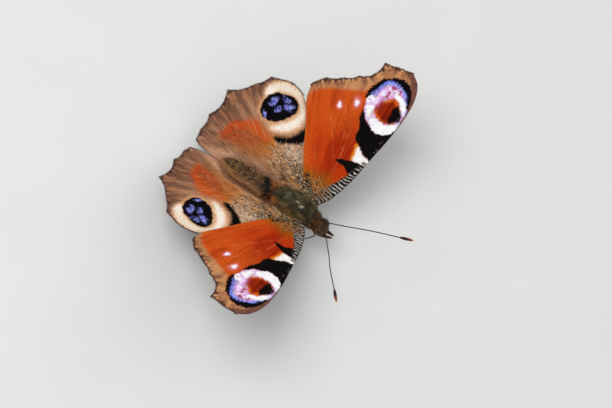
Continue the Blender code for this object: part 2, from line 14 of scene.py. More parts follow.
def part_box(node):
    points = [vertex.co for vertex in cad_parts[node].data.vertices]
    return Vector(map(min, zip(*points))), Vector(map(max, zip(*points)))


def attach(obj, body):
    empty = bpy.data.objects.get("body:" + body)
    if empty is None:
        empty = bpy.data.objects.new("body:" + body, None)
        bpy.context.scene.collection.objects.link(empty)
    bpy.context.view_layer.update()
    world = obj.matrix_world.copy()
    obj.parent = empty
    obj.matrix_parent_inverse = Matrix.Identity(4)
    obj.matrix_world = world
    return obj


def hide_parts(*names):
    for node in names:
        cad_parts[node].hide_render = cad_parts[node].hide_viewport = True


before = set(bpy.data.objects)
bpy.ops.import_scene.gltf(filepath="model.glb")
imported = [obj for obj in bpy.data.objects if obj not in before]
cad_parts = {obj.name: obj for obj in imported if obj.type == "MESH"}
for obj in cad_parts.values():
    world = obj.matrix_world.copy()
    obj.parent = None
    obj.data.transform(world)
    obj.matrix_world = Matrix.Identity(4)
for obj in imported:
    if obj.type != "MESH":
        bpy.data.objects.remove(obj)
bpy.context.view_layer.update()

MM = 0.001
SEED = 11
SIDES = {"left": 1, "right": -1}

# Body
STAND_HEIGHT = 7.5
THORAX_HALF_LENGTH = 4.95
THORAX_MIDDLE_AHEAD = 0.2
THORAX_HALF_WIDTH = 2.65
THORAX_HALF_HEIGHT = 2.85
THORAX_END_DROP = 0.55
COLLAR_GROOVE_AHEAD = 3.55
SCUTELLUM_GROOVE_AHEAD = -2.7
SCUTELLUM_MIDDLE = (-0.3, -2.0)
BLACK_TUFT_AHEAD = -5.7
BLACK_TUFT_SLANT = 0.9
# Painted highlights: places on the thorax's top where the hair is painted pale for glints of light on it
PAINTED_GLINTS = [(-0.35, 0.3), (-0.6, 1.25)]
WAIST_AHEAD = -4.7
ABDOMEN_TIP_AHEAD = -15.1
ABDOMEN_TIP_UP = -2.15
ABDOMEN_HALF_WIDTH = 1.8
ABDOMEN_HALF_HEIGHT = 1.75
ABDOMEN_SEGMENTS = 8
ABDOMEN_BAND = 1.3
HEAD_START_AHEAD = 4.9
HEAD_HALF_WIDTH = 0.8
HEAD_HALF_HEIGHT = 1.35
HEAD_LENGTH = 2.0
HEAD_MIDDLE_UP = -0.6
EYE_MIDDLE = (0.9, 5.9, -0.7)
EYE_RADII = (0.74, 0.86, 1.0)
SKIN_DEPTH = 0.42
NECK_RADIUS = 0.62
THORAX_ROUNDNESS = 2.2
SKIN_ROUNDNESS = 2.25
GROOVE_DEPTH = 0.1
GROOVE_HALF_WIDTH = 0.35
ABDOMEN_START_DROP = 0.48
ABDOMEN_SAG = 0.35
ABDOMEN_COAT_SHARE = 0.3
HEAD_SKIN_DEPTH = (0.06, 0.14)
SECTION_BLEND = 8
MIDDLE_BLEND = 4
SKIN_SHADE = 0.5
BODY_RINGS = 200
BODY_SIDES = 72
BODY_MAP_START = -15.5
BODY_MAP_LENGTH = 24.0
EYE_ROWS = 48
EYE_SIDES = 72

# Wings: hinge, tilt out and up, tilt of the leading edge up, thickness, veins, pleats, edge and grid
FOREWING_HINGE = (2.4, 2.0, 0.35)
FOREWING_DIHEDRAL = 27.0
FOREWING_PITCH = 9.4
HINDWING_HINGE = (2.2, -1.5, 0.25)
HINDWING_DIHEDRAL = 19.0
HINDWING_PITCH = 10.6
MEMBRANE_THICKNESS = 0.14
ROOT_THICKENING = 0.5
ROOT_REACH = 1.0
ROOT_FORE_SHARE = 0.6
NORMAL_STEP = 0.03
VEIN_HEIGHT = 0.075
VEIN_HALF_WIDTH = 0.17
EDGE_THINNESS = 0.4
EDGE_THINNING = 0.5
VEIN_FADE = 30
VEIN_STEP = 0.7
COSTA_RIDGE = 0.15
COSTA_RIDGE_HALF_WIDTH = 0.28
COSTA_RIDGE_FADE = 14
PLEAT_DEPTH = 0.1
PLEAT_REACH = 0.9
PLEAT_EDGE = 1.2
TOOTH = 0.07
SCALLOP_STEPS = 24
SCALLOP_POWER = 0.8
FOREWING_GRID = (260, 136)
HINDWING_GRID = (182, 182)
GRID_SMOOTHINGS = 14
WING_MAP_SIZE = 30.0

# Bends of the wings: the forewing's arch, twist and cup, the hindwing's tuck and its gutter
FOREWING_ARCH = 0.525
FOREWING_ARCH_REACH = 14
FOREWING_TWIST = 0.0051
FOREWING_CUP = 0.00026
TUCK_CURVE = 0.015
TUCK_FORE = -9.5
TUCK_OUT = 8.0
TUCK_SLANT = 0.4
GUTTER_DEPTH = 1.6
GUTTER_START_FORE = -1.0
GUTTER_RISE = 1.2
GUTTER_RISE_FORE = -11.5
GUTTER_LIP_OUT = 1.1
GUTTER_LIP_SHIFT = 2.0
GUTTER_SLOPE_WIDTH = 2.6

FOREWING_COSTA = [(-0.6, 0.8), (0.5, 1.2), (2.4, 2.2), (7.0, 3.3), (12.0, 3.75), (17.2, 4.2),
                  (21.5, 4.25), (25.3, 3.75), (27.9, 2.45), (29.2, 0.6)]
FOREWING_MARGIN = [(29.2, 0.6), (28.6, -2.1), (27.8, -4.8), (23.1, -7.2), (21.2, -9.3),
                   (19.5, -11.6), (16.7, -13.3)]
FOREWING_SCALLOPS = [0.1, 0.15, 1.05, 0.3, 0.2, -0.25]
FOREWING_CORNERS = [(-0.6, 0.8), (29.2, 0.6)]
FOREWING_INNER = [(-0.9, -2.8), (0.7, -3.1), (1.7, -3.6), (3.0, -4.5), (6.4, -7.0), (10.7, -9.8),
                  (14.3, -12.4), (16.7, -13.3)]

HINDWING_COSTA = [(-1.0, 1.0), (0.5, 1.0), (3.0, 0.4), (6.5, -0.9), (10.0, -3.2), (12.9, -6.2),
                  (15.0, -9.6)]
HINDWING_MARGIN = [(15.0, -9.6), (15.65, -13.0), (14.4, -16.35), (11.5, -18.0), (7.9, -21.4),
                   (2.4, -21.3), (-0.9, -20.95), (-2.85, -20.5)]
HINDWING_SCALLOPS = [-0.2, 0.0, 0.25, 0.45, 0.8, 0.3, 0.1]
HINDWING_CORNERS = [(15.65, -13.0), (7.9, -21.4)]
HINDWING_INNER = [(-2.0, -0.9), (-3.05, -3.6), (-3.25, -6.0), (-3.42, -9.6), (-3.57, -12.0),
                  (-3.46, -14.1), (-3.45, -16.3), (-3.36, -18.0), (-3.24, -19.5), (-2.85, -20.5)]

# Each vein: where it starts, or the vein and share of it that it leaves, then its way out
FOREWING_VEINS = {
    "radius": [(-0.5, 0.5), (1.3, 0.9), (6.5, 2.15), (13.0, 2.55), (20.5, 3.0), (27.2, 1.9)],
    "cubitus": [(-0.5, 0.0), (1.3, 0.3), (6.5, -0.5), (12.0, -1.7), (17.5, -4.2), (22.6, -6.8)],
    "anal": [(-0.5, -0.4), (1.3, -0.4), (7.8, -5.4), (12.6, -9.2), (16.4, -12.6)],
    "cell_end": [("radius", 0.5), (13.6, 0.6), ("cubitus", 0.55)],
    "radius_1": [("radius", 0.4), (13.5, 3.45), (16.6, 3.9)],
    "radius_3": [("radius", 0.7), (21.6, 3.55), (24.6, 3.5)],
    "radius_5": [("radius", 0.62), (22.0, 1.6), (28.5, 0.2)],
    "median_1": [("cell_end", 0.25), (20.0, 0.1), (27.3, -4.4)],
    "median_2": [("cell_end", 0.65), (19.0, -2.0), (24.9, -5.0)],
    "cubitus_1": [("cubitus", 0.45), (16.2, -4.9), (20.7, -8.9)],
    "cubitus_2": [("cubitus", 0.31), (12.6, -5.3), (19.0, -11.1)],
}
HINDWING_VEINS = {
    "subcosta": [(-0.4, 0.0), (1.3, -0.2), (6.0, -2.0), (10.8, -5.2), (14.4, -9.3)],
    "radius": [(-0.4, -0.2), (1.3, -0.8), (5.0, -4.0), (9.0, -7.0), (12.9, -9.9), (15.2, -12.7)],
    "cubitus": [(-0.4, -0.5), (1.2, -1.4), (3.7, -6.0), (5.5, -10.3), (6.9, -15.6), (7.9, -20.7)],
    "anal": [(-0.4, -0.9), (1.1, -2.2), (1.1, -6.0), (0.9, -10.5), (-1.2, -15.6), (-2.3, -19.8)],
    "median_1": [("radius", 0.48), (12.0, -12.0), (14.2, -15.7)],
    "median_2": [("radius", 0.4), (9.6, -12.6), (11.2, -17.4)],
    "cubitus_1": [("cubitus", 0.48), (4.5, -15.0), (2.6, -20.7)],
    "cubitus_2": [("cubitus", 0.3), (2.6, -11.0), (1.2, -16.0), (-0.6, -20.3)],
}

# Forewing markings
CELL_BLOTCH = [(8.0, 2.4), (9.1, 3.2), (10.5, 3.4), (10.1, 1.2), (9.5, -0.1), (8.9, -1.25),
               (8.55, -1.1), (8.5, -0.1), (8.35, 0.8), (8.0, 1.5)]
CREAM_PATCH = [(10.35, 1.2), (10.3, 2.2), (10.7, 3.2), (11.3, 4.0), (12.1, 4.1), (12.0, 2.8),
               (12.3, 1.7), (13.0, 0.6), (12.4, 0.5), (11.3, 0.9)]
AMBER_PATCH = [(10.1, 1.1), (10.6, 2.0), (12.0, 1.9), (13.0, 0.6), (12.9, 0.0), (12.2, 0.15), (11.2, 0.55)]
COSTAL_BLOTCH = [(12.05, 4.5), (15.0, 4.7), (18.6, 4.9), (18.7, 4.0), (17.5, 3.2), (16.8, 2.2),
                 (16.6, 1.0), (17.2, -0.4), (17.6, -1.4), (18.9, -2.7), (17.5, -2.7), (16.4, -2.0),
                 (15.4, -1.35), (14.2, -1.15), (13.5, -0.5), (13.0, 0.6), (12.3, 1.8), (12.0, 3.0)]
EYESPOT_DISC = [(20.0, 4.3), (18.4, 4.0), (17.2, 3.0), (16.7, 1.8), (16.7, 0.7), (17.3, -0.5),
                (17.8, -1.5), (18.6, -2.4), (19.9, -3.2), (21.4, -3.8), (23.4, -3.5), (24.9, -3.0),
                (25.9, -2.2), (26.5, -1.1), (26.6, 0.2), (26.3, 1.4), (25.4, 2.4), (24.2, 3.3),
                (22.6, 4.0)]
EYESPOT_INSIDE = [(20.2, 4.4), (19.7, 3.3), (19.1, 2.5), (18.75, 1.8), (18.6, 1.0), (18.7, 0.0),
                  (19.0, -0.7), (19.8, -1.3), (20.7, -1.7), (21.4, -2.3), (21.9, -3.2), (21.7, -4.2),
                  (24.0, -4.6), (27.5, -3.2), (27.8, 1.0), (25.2, 2.6), (22.0, 4.6)]
FORE_WHITE = [(24.0, 0.05), (24.5, 0.2), (24.6, 0.7), (24.5, 1.3), (24.4, 2.05), (23.9, 3.0),
              (23.2, 3.55), (22.4, 3.5), (22.4, 2.9), (23.0, 2.1), (23.6, 1.5), (23.65, 0.8)]
EYESPOT_RIM = [(19.5, 3.0), (20.6, 3.3), (22.1, 3.0), (23.1, 2.1), (23.6, 1.2), (23.4, 0.3),
               (22.6, -0.4), (21.4, -1.0), (20.2, -1.2), (19.2, -0.7), (18.8, 0.4), (18.9, 1.8)]
EYESPOT_CORE = [(19.9, 2.6), (21.2, 2.9), (22.4, 2.0), (23.0, 1.2), (22.8, 0.5), (22.1, -0.2),
                (21.2, -0.8), (20.2, -0.8), (19.5, -0.2), (19.2, 0.8), (19.4, 1.9)]
EYESPOT_SHADE = [(22.5, 1.65), (22.8, 2.1), (22.4, 2.8), (21.75, 3.5), (20.8, 3.95), (20.1, 3.4),
                 (19.4, 2.75), (19.25, 2.15), (20.0, 1.8), (20.9, 1.65), (21.7, 1.5)]
EYESPOT_ARC = [(21.3, -3.9), (22.2, -3.85), (23.3, -3.6), (24.8, -3.15), (25.9, -2.4), (26.55, -1.3),
               (26.75, 0.0), (26.5, 1.2), (25.8, 2.3), (24.8, 3.1), (23.7, 3.65)]
FOREWING_STREAKS_FROM = (-3.5, 0.8)
COSTAL_BARS_END = 12.6
COSTAL_BAR_PITCH = 0.66
COSTAL_BARS_WIDTH = ([0.0, 3.3, 5.2, 7.2, 8.6, 10.1, 12.5], [2.2, 2.3, 1.95, 1.7, 1.5, 1.05, 0.8])
COSTAL_BROWN_WIDTH = ([13, 19, 22, 24.5, 26, 28], [0.14, 0.24, 0.38, 0.48, 0.7, 1.1])
WHITE_SPOTS = {(19.0, -4.5): (0.62, 0.36, -25.0), (17.0, -6.9): (0.62, 0.3, -40.0),
               (23.2, -1.7): (0.42, 0.26, -20.0), (24.4, -0.5): (0.2, 0.16, 0.0)}
SPOT_HALO = {(19.2, -4.6): (1.15, 0.7, -25.0), (17.0, -6.9): (0.8, 0.45, -40.0)}
DARK_BASE = [(4.8, -4.6), (3.5, -4.2), (1.9, -3.5), (0.4, -2.8), (0.6, -1.2), (1.4, -1.5), (3.0, -2.8)]

# Outer part of the forewing, paler towards its edge
MARGIN_BAND = [(24.9, 3.1), (26.7, 1.5), (26.9, -0.5), (25.8, -2.7), (23.5, -3.9), (21.9, -4.5),
               (20.9, -5.8), (19.9, -7.5), (19.2, -8.8), (18.4, -10.2), (17.6, -11.3), (16.6, -12.2),
               (15.2, -12.7), (14.0, -13.5), (17.0, -15.0), (24.0, -12.0), (30.0, -6.0), (31.0, 1.0),
               (28.0, 5.0)]

# Hindwing markings
HINDWING_STREAKS_FROM = (-3.0, 0.5)
OCELLUS = [(7.6, -12.9), (7.8, -13.8), (8.7, -14.6), (10.3, -15.0), (11.7, -14.6), (12.8, -13.7),
           (13.4, -12.2), (13.8, -10.9), (13.4, -9.6), (12.2, -8.8), (11.0, -8.9), (9.5, -9.6),
           (8.3, -10.7), (7.8, -11.8)]
OCELLUS_BLUES = [
    [(10.4, -13.6), (11.4, -13.7), (12.2, -13.2), (11.7, -12.8), (10.5, -12.9)],
    [(12.5, -12.4), (13.0, -12.1), (13.1, -11.0), (12.5, -10.7), (12.0, -11.2), (12.3, -11.8)],
    [(11.5, -10.9), (12.4, -10.6), (12.8, -10.0), (12.3, -9.5), (11.4, -9.6), (11.1, -10.2)],
    [(10.0, -12.3), (10.8, -12.1), (11.1, -11.7), (10.7, -11.2), (10.1, -11.5), (9.7, -11.9)],
    [(8.5, -14.1), (8.8, -14.0), (8.5, -13.4), (8.15, -12.6), (7.95, -12.8), (8.1, -13.6)],
]
OCELLUS_RING = [(10.4, -6.2), (12.4, -7.2), (14.4, -8.9), (15.3, -10.3), (15.6, -12.0), (15.1, -14.1),
                (13.8, -15.7), (12.2, -15.9), (10.4, -15.3), (8.6, -15.1), (7.4, -14.0), (6.8, -12.4),
                (6.4, -10.6), (6.7, -9.2), (7.5, -7.8), (8.8, -6.7)]
OCELLUS_CREAM = [(6.95, -10.8), (7.25, -9.4), (8.25, -8.0), (10.1, -6.95), (11.9, -7.05), (13.6, -8.6),
                 (15.1, -10.4), (15.2, -12.0), (15.2, -13.2), (14.2, -14.7), (13.0, -15.6), (11.7, -15.6),
                 (11.4, -14.8), (12.9, -14.0), (13.7, -13.0), (14.1, -11.3), (14.0, -10.1), (13.3, -8.9),
                 (12.2, -8.2), (10.8, -8.2), (9.3, -8.9), (8.3, -9.8)]
GOLDEN_FIELD = [(0.6, -2.0), (3.0, -3.0), (5.2, -5.6), (6.0, -9.0), (5.6, -12.0), (3.0, -14.0), (0.5, -14.0),
                (0.2, -10.0), (0.4, -6.0)]
GOLDEN_RIM = [(1.0, -8.6), (2.4, -7.1), (4.2, -6.7), (5.1, -7.5), (5.1, -8.9), (4.2, -9.8), (2.6, -10.3),
              (1.2, -10.1)]
GUTTER_FORE = [-19.0, -16.0, -14.0, -12.0, -9.0, -1.0]
GUTTER_OUT = [-3.0, -2.4, -1.5, -0.7, 0.1, 0.2]
BLACK_CRESCENT = [(10.9, -5.3), (9.6, -4.8), (8.3, -4.4), (7.2, -4.9), (6.5, -5.9), (5.9, -6.9),
                  (5.4, -7.9), (5.25, -8.9), (5.8, -9.4), (6.35, -8.7), (6.8, -7.7), (7.6, -6.8),
                  (8.8, -6.2), (10.2, -5.9)]
ORANGE_PATCH = [(3.7, -9.1), (4.8, -9.4), (5.8, -11.1), (6.6, -13.5), (5.9, -14.9), (4.5, -16.0),
                (3.4, -17.1), (1.8, -17.5), (0.1, -17.4), (0.4, -15.3), (1.0, -12.9), (2.3, -10.5)]
ORANGE_HEART = [(1.2, -15.0), (3.2, -15.3), (5.0, -14.6), (4.6, -15.8), (3.1, -17.2), (1.0, -17.1)]
TAN_UNDER_CRESCENT = (7.7, -3.5)
SPECKLED_BASE = [(-0.5, 1.0), (5.0, 0.5), (8.6, -2.6), (8.2, -4.6), (6.6, -6.0), (5.4, -8.2),
                 (3.0, -8.0), (1.0, -7.0), (0.2, -4.0), (-1.0, -1.0)]
PALE_BASE = [(4.6, -1.6), (7.6, -2.6), (8.0, -4.6), (6.4, -6.0), (5.2, -7.2), (4.6, -5.0)]

# Underside, and fine lines, ground and outermost edge of each wing's margin
UNDERSIDE_WAVES_FROM = (-1.5, 1.0)
FOREWING_EDGE_TONES = ((208, 156, 114), (112, 74, 56), (76, 48, 42))
HINDWING_EDGE_TONES = ((186, 146, 124), (110, 76, 62), (72, 44, 44))
FRINGE_TONES = {"forewing": (84, 54, 46), "hindwing": (88, 60, 50)}

# Legs: share of the thorax's half length, angle from its flank, then knee, ankle and toe
LEGS = {
    "midleg": (0.12, -58.0, (4.7, 2.1, -2.7), (6.5, 2.5, -6.3), (9.0, 3.0, -7.28)),
    "hindleg": (-0.42, -55.0, (4.3, -4.2, -3.2), (5.6, -7.4, -6.4), (6.9, -10.6, -7.28)),
}
FEMUR_RADIUS = 0.26
TIBIA_RADIUS = 0.19
TARSUS_RADIUS = 0.15
FORELEG_ROOT = (0.8, -80.0)
FORELEG_POINTS = [(0.6, 5.1, -2.75), (1.1, 5.65, -2.65), (1.45, 5.65, -2.55), (2.2, 5.2, -2.6),
                  (2.95, 4.6, -2.8)]
FORELEG_RADII = [0.22, 0.14, 0.1, 0.09, 0.08, 0.05]
LEG_TONES = ((46, 31, 22), (120, 86, 56))
TARSUS_TONES = ((52, 34, 24), (104, 72, 48))
CLAW_TONES = ((28, 17, 12), (40, 25, 18))
SPUR_TONES = ((60, 40, 26), (90, 62, 40))
FORELEG_TONES = ((50, 35, 25), (100, 72, 48))
LIMB_STATIONS = 34
LIMB_END_TAPER = 0.6
LIMB_RINGS = 40
BRISTLE_ROOT = 0.92
LIMB_SIDES = 14
FOOT_REFERENCE = (0.1, 0.2, 1.0)

# Feelers, palps and tongue
ANTENNA_ROOT = (0.45, 6.2, 0.48)
LEFT_ANTENNA = [(2.0, 9.4, 1.55), (3.5, 13.0, 2.6), (4.95, 16.9, 3.6), (6.3, 20.5, 4.4)]
RIGHT_ANTENNA = [(-4.5, 9.4, 2.1), (-7.6, 11.5, 3.2), (-10.1, 13.6, 4.0), (-12.5, 15.7, 4.4)]
ANTENNA_RADIUS = 0.09
CLUB_RADIUS = 0.27
CLUB_START = 0.84
ANTENNA_JOINTS = 38
ANTENNA_SIDES = 16
ANTENNA_JOINT_STEPS = 7
ANTENNA_TONE = (56, 32, 22)
ANTENNA_JOINT_TONE = (118, 80, 56)
PALP_POINTS = [(0.5, 5.7, -1.8), (0.6, 6.5, -1.95), (0.48, 7.45, -1.7), (0.32, 8.3, -1.3)]
PALP_RADII = [0.22, 0.3, 0.23, 0.07]
PALP_TONES = ((44, 30, 22), (112, 78, 50))
TONGUE_STATIONS = 260
TONGUE_SIDES = 14
TONGUE_RADIUS = 0.16
TONGUE_TURNS = 2.4
TONGUE_OUTER = 1.0
TONGUE_INNER = 0.22
TONGUE_CENTRE = (0.0, 5.95, -3.3)
TONGUE_START_ANGLE = 70
TONGUE_TONE = (84, 48, 26)

# Camera: millimetres from the body, pixels to a millimetre there, widths of picture and sensor, degrees
# of lean to the butterfly's right and of roll, and how far off the picture's middle the body is
CAMERA_DISTANCE = 400.0
SCALE_AT_BODY = 5.6
PICTURE_WIDTH = 612
SENSOR_WIDTH = 36.0
CAMERA_LEAN = 26.0
CAMERA_ROLL = 36.6
BODY_LEFT_OF_PICTURE_MIDDLE = 1.714
BODY_BELOW_PICTURE_MIDDLE = 0.43

# Coat: how many tufts, where they grow and point away from, the form of one, and its patch on the flat map
THORAX_TUFTS = 10500
ABDOMEN_TUFTS = 8700
HEAD_TUFTS = 6500
EYE_HAIRS = 600
HINDWING_HAIRS = 26500
HINDWING_SCALES = 11500
FOREWING_HAIRS = 7000
FRINGE_TUFTS = 1500
THORAX_COAT = (-4.6, 5.2)
ABDOMEN_COAT = (ABDOMEN_TIP_AHEAD + 0.05, -4.2)
HEAD_COAT = (4.6, HEAD_START_AHEAD + HEAD_LENGTH)
HINDWING_HAIR_AREA = ((-3.2, -18.0), (6.0, 0.6))
HINDWING_HAIR_FROM = (1.2, 4.5)
HINDWING_SCALE_AREA = ((-0.8, -9.0), (9.0, 1.2))
HINDWING_SCALES_FROM = (-2.0, 1.5)
FOREWING_HAIR_AREA = ((-0.9, -5.0), (5.0, 2.2))
FOREWING_HAIR_FROM = (-2.5, 1.0)
FRINGE_INSET = 0.12
TUFT_STATIONS = (0.0, 0.35, 0.7)
TUFT_THICKNESS = (0.75, 1.0, 0.62)
TUFT_FLATNESS = 0.6
PATCH = 0.003
MAP_ROOM = 0.996
FLOOR_CLEARANCE = 0.01

# Shortest and longest, and narrowest and widest tufts of each coat
TUFT_SIZES = {
    "thorax": ((0.6, 1.15), (0.05, 0.085)),
    "abdomen": ((0.45, 0.8), (0.05, 0.085)),
    "head": ((0.35, 0.6), (0.04, 0.065)),
    "hindwing hair": ((0.8, 1.8), (0.045, 0.08)),
    "hindwing scales": ((0.15, 0.24), (0.12, 0.18)),
    "forewing hair": ((0.22, 0.5), (0.06, 0.1)),
    "fringe": ((0.26, 0.46), (0.07, 0.11)),
}

# Floor and lights, in metres and watts
FLOOR_SIZE = 6.0
FLOOR_TONE = (0.8, 0.79, 0.77)
WORLD_TONE = (0.94, 0.97, 1.0, 1.0)
WORLD_STRENGTH = 0.5
LIGHT_TARGET = (0, 0, 0.008)
KEY_PLACE = (-0.12, 0.2, 0.5)
KEY_SIZE = 0.35
KEY_POWER = 1.6
FILL_PLACE = (0.35, -0.25, 0.35)
FILL_SIZE = 0.5
FILL_POWER = 0.5

THORAX_LOW, THORAX_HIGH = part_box("thorax")
BODY_SHIFT = (THORAX_LOW.y + THORAX_HIGH.y) / 2 / MM + THORAX_MIDDLE_AHEAD


def to_world(places):
    """Body places in millimetres as points of the scene, in metres."""
    places = np.asarray(places, float)
    moved = [places[..., 0], BODY_SHIFT - places[..., 1], places[..., 2] + STAND_HEIGHT]
    return np.stack(moved, -1) * MM


def ease(share):
    """A smooth step from 0 to 1."""
    share = np.clip(share, 0.0, 1.0)
    return share * share * (3 - 2 * share)


def unit(vectors):
    """The vectors at length 1."""
    return vectors / np.maximum(np.linalg.norm(vectors, axis=-1, keepdims=True), 1e-9)


def colour(red, green, blue):
    """A screen colour from 0 to 255 as linear light."""
    values = np.array([red, green, blue]) / 255
    return np.where(values <= 0.04045, values / 12.92, ((values + 0.055) / 1.055) ** 2.4)


def over(below, above, mask):
    """One paint laid over another through a mask. A tuple is a screen colour."""
    below, above = [colour(*tone) if isinstance(tone, tuple) else tone for tone in (below, above)]
    return below + (above - below) * np.asarray(mask)[..., None]


def layered(paint, *layers):
    """Paints laid over one another in turn, each a tone and its mask."""
    for tone, mask in layers:
        paint = over(paint, tone, mask)
    return paint


def smooth_path(points, steps):
    """Points along a Catmull-Rom curve through the given points."""
    points = np.asarray(points, float)
    padded = np.vstack([2 * points[0] - points[1], points, 2 * points[-1] - points[-2]])
    path = []
    for before, start, end, after in zip(padded, padded[1:], padded[2:], padded[3:]):
        for step in range(steps):
            t = step / steps
            bend = (end - before) * t + (2 * before - 5 * start + 4 * end - after) * t * t
            path.append(start + 0.5 * (bend + (3 * start - before - 3 * end + after) * t ** 3))
    path.append(points[-1])
    return np.array(path)


def closed_path(points, steps=5):
    """A smooth closed outline through the given points."""
    ring = list(points[-2:]) + list(points) + list(points[:2])
    path = smooth_path(ring, steps)
    return path[2 * steps:-steps]


def lengths_along(path):
    """The distance along a path at each of its points."""
    return np.concatenate([[0.0], np.cumsum(np.linalg.norm(np.diff(path, axis=0), axis=1))])


def resampled(path, shares):
    """Points of a path at shares of its length."""
    along = lengths_along(path)
    return np.stack([np.interp(shares * along[-1], along, column) for column in path.T], -1)


def noise(x, y, size, seed):
    """Smooth noise from 0 to 1 over flat places, with lumps of a size."""
    lattice = np.random.default_rng(SEED + seed).random((256, 256))
    column, row = np.floor(x / size).astype(int), np.floor(y / size).astype(int)
    across, along = ease(x / size - column), ease(y / size - row)
    column, row = column % 256, row % 256
    right, above = (column + 1) % 256, (row + 1) % 256
    low = lattice[column, row] * (1 - across) + lattice[right, row] * across
    high = lattice[column, above] * (1 - across) + lattice[right, above] * across
    return low * (1 - along) + high * along


def ripple(along, size, seed):
    """Smooth noise from 0 to 1 along a line."""
    return noise(along, np.zeros(along.shape), size, seed)


def dice(seed, sign=1):
    """A seeded source of random draws, another one for the right side."""
    return np.random.default_rng(SEED + seed + (0 if sign > 0 else 10))


def to_line(x, y, path):
    """The distance from flat places to a path, and the distance along it of the nearest place."""
    best, where = np.full(x.shape, 1e9), np.zeros(x.shape)
    along = lengths_along(path)
    for start, end, before in zip(path, path[1:], along):
        span = end - start
        length = math.hypot(*span)
        if length < 1e-9:
            continue
        share = np.clip(((x - start[0]) * span[0] + (y - start[1]) * span[1]) / length ** 2, 0, 1)
        gap = np.hypot(x - start[0] - span[0] * share, y - start[1] - span[1] * share)
        nearer = gap < best
        best = np.where(nearer, gap, best)
        where = np.where(nearer, before + length * share, where)
    return best, where


def within(x, y, outline):
    """Whether flat places are inside a closed outline."""
    inside = np.zeros(x.shape, bool)
    for start, end in zip(outline, np.roll(outline, -1, axis=0)):
        if start[1] == end[1]:
            continue
        crosses = (start[1] > y) != (end[1] > y)
        inside ^= crosses & (x < start[0] + (y - start[1]) * (end[0] - start[0]) / (end[1] - start[1]))
    return inside


def patch(x, y, points, blur):
    """A mask of a smooth closed patch through the points, with an edge of a softness."""
    outline = closed_path(points)
    gap = to_line(x, y, outline)[0]
    signed = np.where(within(x, y, outline), gap, -gap)
    return ease(0.5 + signed / (2 * blur))


def oval(x, y, centre, size, blur):
    """A mask of an oval with half sizes and a turn in degrees."""
    turn = math.radians(size[2])
    along = (x - centre[0]) * math.cos(turn) + (y - centre[1]) * math.sin(turn)
    across = (y - centre[1]) * math.cos(turn) - (x - centre[0]) * math.sin(turn)
    reach = np.hypot(along / size[0], across / size[1])
    return ease(0.5 + (1 - reach) * min(size[:2]) / (2 * blur))


def add_piece(name, places, faces, material, tint, sign=1, maps=None):
    """One mesh of triangles from body places, with a colour for each point and flat maps.

    With a sign of -1 it moves to the other side of the body, its faces still out.
    """
    faces = np.asarray(faces, np.int32)[:, ::-sign]
    mesh = bpy.data.meshes.new(name)
    mesh.vertices.add(len(places))
    mesh.vertices.foreach_set("co", to_world(places * (sign, 1, 1)).astype(np.float32).ravel())
    mesh.loops.add(faces.size)
    mesh.loops.foreach_set("vertex_index", faces.ravel())
    mesh.polygons.add(len(faces))
    mesh.polygons.foreach_set("loop_start", np.arange(len(faces), dtype=np.int32) * 3)
    mesh.update(calc_edges=True)
    mesh.shade_smooth()
    layer = mesh.color_attributes.new(name="Tint", type="FLOAT_COLOR", domain="POINT")
    rgba = np.ones((len(places), 4), np.float32)
    rgba[:, :3] = tint
    layer.data.foreach_set("color", rgba.ravel())
    for label, flat in (maps or {}).items():
        layer = mesh.uv_layers.new(name=label)
        layer.data.foreach_set("uv", np.asarray(flat, np.float32)[faces.ravel()].ravel())
    mesh.materials.append(material)
    return new_object(name, mesh)


def belongs(item, slot, *nodes):
    """The piece rides on the body and stands for its solids. Its slot, a finish, is not used."""
    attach(item, "root")
    if nodes:
        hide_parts(*nodes)


def split_quads(quads):
    """Two triangles for each quad."""
    quads = np.asarray(quads)
    return np.concatenate([quads[:, [0, 1, 2]], quads[:, [0, 2, 3]]])


def grid_quads(rows, columns, closed=False):
    """Quads of a grid of points kept row by row, joined round if closed."""
    row = np.arange(rows - 1)[:, None]
    column = np.arange(columns if closed else columns - 1)[None, :]
    turn = (column + 1) % columns
    first = row * columns
    corners = [first + column, first + turn, first + columns + turn, first + columns + column]
    return np.stack(np.broadcast_arrays(*corners), -1).reshape(-1, 4)


def closed_faces(rows, sides):
    """Triangles of rings joined into a tube, with one more point for the cap at each end."""
    around = np.arange(sides)
    turn = (around + 1) % sides
    last, count = (rows - 1) * sides, rows * sides
    start_cap = np.stack([turn, around, np.full(sides, count)], -1)
    end_cap = np.stack([last + around, last + turn, np.full(sides, count + 1)], -1)
    return np.vstack([split_quads(grid_quads(rows, sides, closed=True)), start_cap, end_cap])


def tube_mesh(path, radii, sides, reference):
    """Points and triangles of a closed round form along a path."""
    tangent = unit(np.gradient(path, axis=0))
    across = unit(np.cross(tangent, reference))
    upright = np.cross(tangent, across)
    angle = 2 * math.pi * np.arange(sides) / sides
    ring = np.cos(angle)[None, :, None] * across[:, None]
    ring = ring + np.sin(angle)[None, :, None] * upright[:, None]
    places = path[:, None] + ring * np.asarray(radii)[:, None, None]
    places = np.vstack([places.reshape(-1, 3), path[:1], path[-1:]])
    return places, closed_faces(len(path), sides)


def tube_tint(paint, sides):
    """The colour of each point of a tube, from a colour for each of its rings."""
    return np.vstack([np.repeat(paint, sides, axis=0), paint[:1], paint[-1:]])


def joined(parts):
    """Several (places, faces, tint) joined into one."""
    places, faces, tints, count = [], [], [], 0
    for part_places, part_faces, part_tint in parts:
        places.append(part_places)
        faces.append(part_faces + count)
        tints.append(part_tint)
        count += len(part_places)
    return np.vstack(places), np.vstack(faces), np.vstack(tints)


